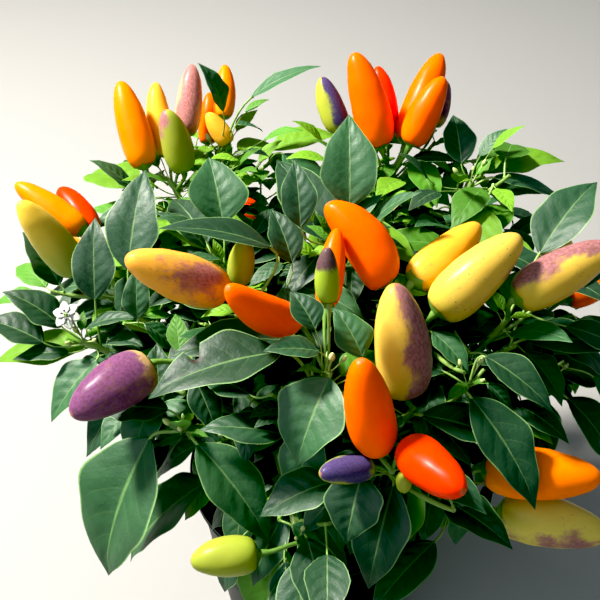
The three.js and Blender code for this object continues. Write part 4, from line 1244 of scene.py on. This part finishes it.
def green_stalk(colour, rough, patches=0.0):
    """A fleshy green stalk, with tan woody patches on the older wood."""
    def shade(nodes, place):
        toned = nodes.tone(colour, place, 140.0, 0.6)
        woody = nodes.times(nodes.step(nodes.part(place, 2), 0.165, 0.108, 0.15, 1.0), patches)
        streaks = nodes.noise(nodes.stretched(place, 700.0, 700.0, 110.0), 1.0, 4.0, 0.6)
        mask = nodes.step(nodes.plus(streaks, nodes.times(woody, 0.7)), 0.72, 1.02)
        surface = nodes.mix(mask, toned, (0.20, 0.14, 0.075)) if patches else toned
        return nodes.surface(surface, rough, nodes.bump(streaks, 0.35, 0.0006))
    return shade


def black_plastic(nodes, place):
    """Moulded black plastic with dust low on its sides and faint scuffs."""
    dust = nodes.noise(place, 60.0, 6.0, 0.7)
    mask = nodes.times(nodes.step(dust, 0.52, 0.75), nodes.step(nodes.part(place, 2), 0.11, 0.0, 0.12, 0.42))
    colour = nodes.mix(mask, (0.007, 0.007, 0.008), (0.030, 0.027, 0.022))
    scuffs = nodes.noise(nodes.stretched(place, 90.0, 90.0, 900.0), 1.0)
    roughness = nodes.plus(nodes.line(scuffs, 0.16, 0.34), nodes.times(mask, 0.5))
    normal = nodes.bump(nodes.line(nodes.noise(place, 1800.0, 2.0), 0.4, dust), 0.12, 0.0005)
    return nodes.surface(colour, roughness, normal, Specular_IOR_Level=0.12)


def compost(nodes, place):
    """Dark crumbs with pale flecks."""
    coarse, fine = nodes.noise(place, 140.0, 6.0, 0.65), nodes.noise(place, 900.0, 4.0, 0.7)
    colour = nodes.mix(nodes.step(coarse, 0.35, 0.7), (0.018, 0.011, 0.007), (0.085, 0.055, 0.032))
    flecked = nodes.mix(nodes.step(fine, 0.66, 0.74, 0.0, 0.6), colour, (0.20, 0.15, 0.10))
    return nodes.surface(flecked, 0.95, nodes.bump(nodes.plus(coarse, fine), 0.9, 0.002))


def petal_white(nodes, place):
    """A thin white petal that lets light through."""
    face = nodes.surface(nodes.tone((0.66, 0.68, 0.60), place, 300.0, 0.12), 0.55)
    return nodes.let_through(0.25, face, (0.8, 0.82, 0.6))


def pollen(nodes, place):
    """A dull grey-violet sac."""
    return nodes.surface(nodes.tone((0.20, 0.16, 0.22), place, 900.0, 0.5), 0.7)


GREENS = {
    "deep green": leaf_top((0.014, 0.053, 0.021), (0.07, 0.32, 0.02), 0.44),
    "green": leaf_top((0.028, 0.098, 0.034), (0.13, 0.46, 0.03), 0.44),
    "light green": leaf_top((0.090, 0.260, 0.022), (0.32, 0.72, 0.02), 0.46, 0.5, 0.06, 0.4),
    "young green": leaf_top((0.20, 0.42, 0.028), (0.52, 0.88, 0.03), 0.46, 0.45, 0.0, 0.45),
}
SKINS = {
    "orange": fruit_skin((0.95, 0.110, 0.0005), (0.95, 0.15, 0.002)),
    "amber": fruit_skin((0.90, 0.18, 0.003), (0.84, 0.26, 0.012)),
    "scarlet": fruit_skin((0.76, 0.030, 0.001), (0.80, 0.060, 0.002)),
    "lemon": fruit_skin((0.80, 0.37, 0.030), (0.66, 0.38, 0.045), freckles=0.4),
    "honey": fruit_skin((0.74, 0.34, 0.045), (0.66, 0.36, 0.05), (0.20, 0.066, 0.072), 0.5),
    "straw": fruit_skin((0.54, 0.44, 0.09), (0.42, 0.41, 0.07), (0.16, 0.055, 0.078), 0.5),
    "cream": fruit_skin((0.60, 0.385, 0.060), (0.50, 0.39, 0.05), (0.155, 0.052, 0.078), 0.85),
    "turning": fruit_skin((0.70, 0.45, 0.050), (0.26, 0.40, 0.09), green=1.05),
    "lime": fruit_skin((0.27, 0.31, 0.035), (0.24, 0.33, 0.03), (0.24, 0.08, 0.10)),
    "plum": fruit_skin((0.40, 0.23, 0.10), (0.56, 0.40, 0.15), (0.078, 0.015, 0.080)),
    "indigo": fruit_skin((0.34, 0.37, 0.04), (0.34, 0.37, 0.04), (0.022, 0.003, 0.095)),
    "mauve": fruit_skin((0.50, 0.28, 0.16), (0.60, 0.45, 0.20), (0.25, 0.085, 0.085)),
    "tipped": fruit_skin((0.26, 0.36, 0.03), (0.20, 0.34, 0.035), (0.055, 0.010, 0.040)),
}
STALKS = {
    "green stem": green_stalk((0.16, 0.27, 0.055), 0.45, 0.5),
    "leaf stalk": green_stalk((0.20, 0.34, 0.075), 0.42),
    "fruit stalk": green_stalk((0.13, 0.26, 0.045), 0.40),
    "fruit cup": green_stalk((0.15, 0.30, 0.05), 0.38),
}
LEAF_MATERIALS = [*[material("leaf " + name, shade) for name, shade in GREENS.items()],
                  material("leaf underside", leaf_underside)]
FRUIT_MATERIALS = [material(name + " fruit skin", shade) for name, shade in SKINS.items()]
WOOD_MATERIALS = [material(name, shade) for name, shade in STALKS.items()]


# Pot, soil and wood

def lathe(profile, sides):
    """A profile of radius and height pairs turned about Z; it starts and ends on the axis."""
    radius, height = np.asarray(profile, float).T[:, :, None]
    turn = circle(sides)
    return np.stack(np.broadcast_arrays(radius * np.cos(turn), radius * np.sin(turn), height), -1)[None]


def rounded(profile, steps=4, share=0.3, most=0.8):
    """The profile with each inner corner cut into a short even curve."""
    profile = np.asarray(profile, float)
    out = [profile[0]]
    for before, corner, after in zip(profile[:-2], profile[1:-1], profile[2:]):
        reach = min(share * np.linalg.norm(corner - before), share * np.linalg.norm(after - corner), most)
        start, end = (corner + unit(other - corner) * reach for other in (before, after))
        for t in np.linspace(0, 1, steps):
            out.append((1 - t) ** 2 * start + 2 * t * (1 - t) * corner + t ** 2 * end)
    return np.array(out + [profile[-1]])


def pot_radius(height):
    """The wall's outer radius, which grows evenly from foot to mouth."""
    return POT["foot"] + (POT["mouth"] - POT["foot"]) * height / POT["height"]


def applied(piece, kind, **settings):
    """The piece with one modifier worked into its mesh."""
    modifier = piece.modifiers.new(kind, kind)
    for key, value in settings.items():
        setattr(modifier, key, value)
    evaluated = piece.evaluated_get(bpy.context.evaluated_depsgraph_get())
    mesh, old = bpy.data.meshes.new_from_object(evaluated), piece.data
    piece.modifiers.clear()
    piece.data = mesh
    bpy.data.meshes.remove(old)
    return piece


def make_pot(materials):
    """A thin tapering wall with a stepped, ridged rim, and drain holes cut through the floor."""
    height, wall, rim = POT["height"], POT["wall"], POT["mouth"] + POT["rim_step"]
    low = height - POT["rim_drop"]
    profile = rounded([
        (0.02, 0.9), (36, 0.9), (37, 0), (POT["foot"] - 2, 0), (pot_radius(2.2), 2.2),
        (pot_radius(30), 30), (pot_radius(60), 60), (pot_radius(low - 0.6), low - 0.6),
        (pot_radius(low) + POT["rim_step"] - 0.3, low), (pot_radius(low) + POT["rim_step"], low + 0.8),
        (rim, height - 5), (rim - 0.8, height - 4.3), (rim - 0.8, height - 3.3), (rim + 0.4, height - 2.6),
        (rim + 0.4, height - 0.7), (rim - 0.4, height), (POT["mouth"] - wall + 0.4, height),
        (POT["mouth"] - wall, height - 0.8), (pot_radius(60) - wall, 60),
        (pot_radius(POT["floor"]) - wall, 2.4), (pot_radius(POT["floor"]) - wall - 2, POT["floor"]),
        (0.02, POT["floor"])])
    skins, drills = Skins(), Skins()
    skins.add(lathe(profile, 144))
    pot = skins.piece("pot", materials)
    turn = circle(24)
    spots = np.array([heading(360 * i / DRAINS["count"], 0) * DRAINS["ring"] for i in range(DRAINS["count"])])
    ring = np.stack([np.cos(turn), np.sin(turn), 0 * turn], -1) * DRAINS["radius"]
    heights = np.array([-2.0, 0.0, POT["floor"] + 2])[None, :, None, None] * UP
    drills.add(spots[:, None, None] + ring + heights)
    drill = drills.piece("drill", [])
    applied(pot, "BOOLEAN", object=drill, operation="DIFFERENCE", solver="EXACT")
    bpy.data.objects.remove(drill)
    pot.data.shade_smooth()
    pot.data.set_sharp_from_angle(angle=math.radians(35))
    return pot


def make_soil(materials):
    """Compost: a body that fills the pot, with a lumpy top and loose crumbs on it."""
    low, full, dip = SOIL["low"], SOIL["top"], SOIL["dip"]
    inner = [(pot_radius(z) - SOIL["inside"], z) for z in (low, 50, full - dip)]
    edge = inner[-1][0]
    top = [(edge * k, full - dip * k ** 3) for k in np.linspace(1, 0, 46)[1:-1]]
    skins = Skins()
    rings = lathe([(0.02, low), *inner, *top, (0.02, full)], 120)
    radius = np.linalg.norm(rings[..., :2], axis=-1)
    on_top = smooth(full - 6, full - dip - 0.2, rings[..., 2]) * smooth(edge, edge - 2, radius)
    lumps = 0.9 * waves(rings, 9, 11, 4) + 0.5 * np.abs(waves(rings, 4, 12, 3)) - 0.6
    rings[..., 2] += on_top * np.minimum(lumps, 0.4) * smooth(8, 14, radius)
    skins.add(rings)

    rng, count = np.random.default_rng(21), SOIL["crumbs"]
    away, way = np.sqrt(rng.uniform(0.03, 1, count)) * (edge - 3), rng.uniform(0, 2 * np.pi, count)
    centre = np.stack([away * np.cos(way), away * np.sin(way),
                       full - dip * (away / edge) ** 3 + rng.uniform(-0.4, 0.15, count)], -1)[:, None, None]
    size = rng.uniform(0.5, 1.7, count)[:, None, None, None]
    rise = np.linspace(-0.94, 0.94, 6)
    crumb = lathe(np.stack([np.sqrt(1 - rise ** 2), rise], -1), 8) * size
    crumb = crumb * rng.uniform(0.6, 1.2, (count, 1, 1, 3))
    crumb = crumb * (1 + 0.25 * waves(crumb + centre, 1.6, 13, 2))[..., None]
    skins.add(centre + crumb)
    return skins.piece("soil", materials)


def make_limbs(materials):
    """Trunk and boughs grown into one body, with ribs, small knots and fine bark relief."""
    skins = Skins()
    t, turn = np.linspace(0, 1, 60)[:, None], circle(28)
    foot, top = trunk_point(TRUNK["base"]), trunk_point(TRUNK["fork"])
    radii = TRUNK["foot"] + (TRUNK["neck"] - TRUNK["foot"]) * t + (
        TRUNK["flare"] - TRUNK["foot"]) * np.exp(-TRUNK["fall"] * t)
    ribs = 1 + 0.05 * np.cos(5 * turn + 0.8) + 0.10 * np.exp(-12 * t) * np.cos(4 * turn)
    skins.add(tubes((foot + (top - foot) * t)[None], (radii * ribs * 0.96)[None], 28))
    t = np.linspace(0, 1, 40)
    centres = np.array([bough_path(name).along(t) for name in BOUGHS])
    knob = (BOUGH["knob"] - BOUGH["tip"]) * smooth(0.86, 0.98, t)
    radii = (BOUGH["root"] + (BOUGH["tip"] - BOUGH["root"]) * t + knob) * (1 + 0.16 * np.exp(-14 * t))
    radii = radii[:, None] * ribbed(20, 0.05) * (1 + 0.05 * waves(centres, 16, 31, 2))[..., None]
    skins.add(tubes(centres, radii, 20))
    body = skins.piece("trunk_and_boughs", materials)
    applied(body, "REMESH", mode="VOXEL", voxel_size=0.55 * MM, use_smooth_shade=True)
    vertices = body.data.vertices
    points, normals = read(vertices, "co", 3) / MM, read(vertices, "normal", 3)
    low = smooth(150, 105, points[:, 2])
    relief = 0.10 * waves(points * [1, 1, 0.3], 2.2, 41, 3) * (0.4 + low) + 0.05 * waves(points, 0.9, 42, 2)
    points = points + normals * relief[:, None]
    points[:, 2] = np.maximum(points[:, 2], TRUNK["base"] - 0.2)
    vertices.foreach_set("co", (points * MM).ravel().astype(np.float32))
    body.data.update()
    return body


# The pieces

SECTORS = {
    "left": ["foliage_left", "foliage_left_edge", "foliage_centre_left", "foliage_left_front"],
    "front": ["foliage_centre", "foliage_centre_right", "foliage_front", "foliage_right_front",
              "foliage_front_low"],
    "right": ["foliage_centre_back", "foliage_right_top", "foliage_right", "foliage_right_back"],
    "back": ["foliage_back_left", "foliage_back", "foliage_back_right", "foliage_mid_back",
             "foliage_rear_left", "foliage_rear_right"],
}


def settle(piece, slot, *nodes):
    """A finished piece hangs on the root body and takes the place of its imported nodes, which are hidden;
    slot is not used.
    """
    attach(piece, "root")
    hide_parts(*nodes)


plant = Plant()
settle(make_pot([material("black plastic", black_plastic)]), "pot", "pot")
settle(make_soil([material("compost", compost)]), "soil", "soil")
settle(make_limbs([WOOD_MATERIALS[0]]), "stem", "trunk", *BOUGHS)

for number, (sector, names) in enumerate(SECTORS.items()):
    masses = [m for m, row in enumerate(MASSES) if row[0] in names]
    blades = [blade for blade in plant.blades if blade.mass in masses]
    pods = [pod for pod in plant.pods if pod.mass in masses]
    leaves, wood, fruit = Skins(), Skins(), Skins()
    for rank in ("large", "seeded", "small"):
        add_leaves(leaves, blades, rank, 100 * number + len(rank))
    settle(leaves.piece("leaves_" + sector, LEAF_MATERIALS, 60), "foliage", *names)
    add_stems(wood, plant, masses)
    add_petioles(wood, blades)
    add_pedicels(wood, pods)
    settle(wood.piece("twigs_" + sector, WOOD_MATERIALS, 70), "stem", *names)
    add_pods(fruit, pods, 300 + number)
    settle(fruit.piece("fruit_" + sector, FRUIT_MATERIALS), "fruit", *names)

buds, flowers = Skins(), Skins()
add_buds(buds, plant.buds)
settle(buds.piece("buds", [material("bud green", green_stalk((0.30, 0.42, 0.12), 0.5)),
                           material("bud tip", green_stalk((0.46, 0.55, 0.20), 0.5))]),
       "foliage", *[name for name, _, _ in MASSES])
opened = []
for name, s, reach, bearing, rise, aim, tilt in FLOWERS:
    path = next(path for m, shoot, path, _ in plant.stems if (MASSES[m][0], shoot) == (name, s))
    opened.append((path.root_below(0), path.point(1.0) + reach * heading(bearing, rise), heading(aim, tilt)))
add_flowers(flowers, opened)
settle(flowers.piece("flowers", [material("white petal", petal_white), material("pollen", pollen),
                                 WOOD_MATERIALS[1]]), "foliage", *[row[0] for row in FLOWERS])


# Stage, light and camera

def paper(nodes, place):
    """Plain pale paper."""
    return nodes.surface(nodes.tone((0.31, 0.305, 0.295), place, 3.0, 0.04), 0.9, Specular_IOR_Level=0.1)


def aimed(name, data, place, target):
    """A light or a camera at a place, which looks at the target."""
    item = bpy.data.objects.new(name, data)
    item.location = place
    item.rotation_euler = (Vector(target) - item.location).to_track_quat("-Z", "Y").to_euler()
    bpy.context.scene.collection.objects.link(item)
    return item


floor = bpy.data.meshes.new("floor")
floor.from_pydata([(-4, -4, 0), (4, -4, 0), (4, 4, 0), (-4, 4, 0)], [], [(0, 1, 2, 3)])
new_object("floor", floor, [material("pale paper", paper)])

# Soft square lights that look at the middle of the crown: place, size, power and colour
LIGHTS = {"sun": ((-0.75, 0.26, 1.22), 0.18, 64, (1.0, 0.96, 0.89)),
          "sky": ((0.50, 1.20, 1.30), 1.6, 1.5, (0.80, 0.92, 1.0)),
          "fill": ((-0.80, -0.90, 1.35), 1.4, 14, (0.80, 0.91, 1.0))}
for name, (place, size, power, colour) in LIGHTS.items():
    light = bpy.data.lights.new(name, "AREA")
    light.size, light.energy, light.color = size, power, colour
    aimed(name, light, place, (0, 0, 0.19))

world = bpy.data.worlds.new("pale surroundings")
world.use_nodes = True
world.node_tree.nodes["Background"].inputs["Color"].default_value = (0.80, 0.86, 0.92, 1)
world.node_tree.nodes["Background"].inputs["Strength"].default_value = 0.26
bpy.context.scene.world = world

lens = bpy.data.cameras.new("camera")
lens.sensor_width = 36
lens.lens = lens.sensor_width / 2 / math.tan(math.radians(VIEW["field"] / 2))
target = np.array(VIEW["target"], float)
eye = target + SIGHT * VIEW["distance"]
bpy.context.scene.camera = aimed("camera", lens, eye * MM, target * MM)

look = bpy.context.scene.view_settings
look.view_transform = "Standard"
look.use_curve_mapping = True
look.curve_mapping.black_level = (0.020, 0.013, 0.017)
look.curve_mapping.update()

bpy.context.view_layer.update()
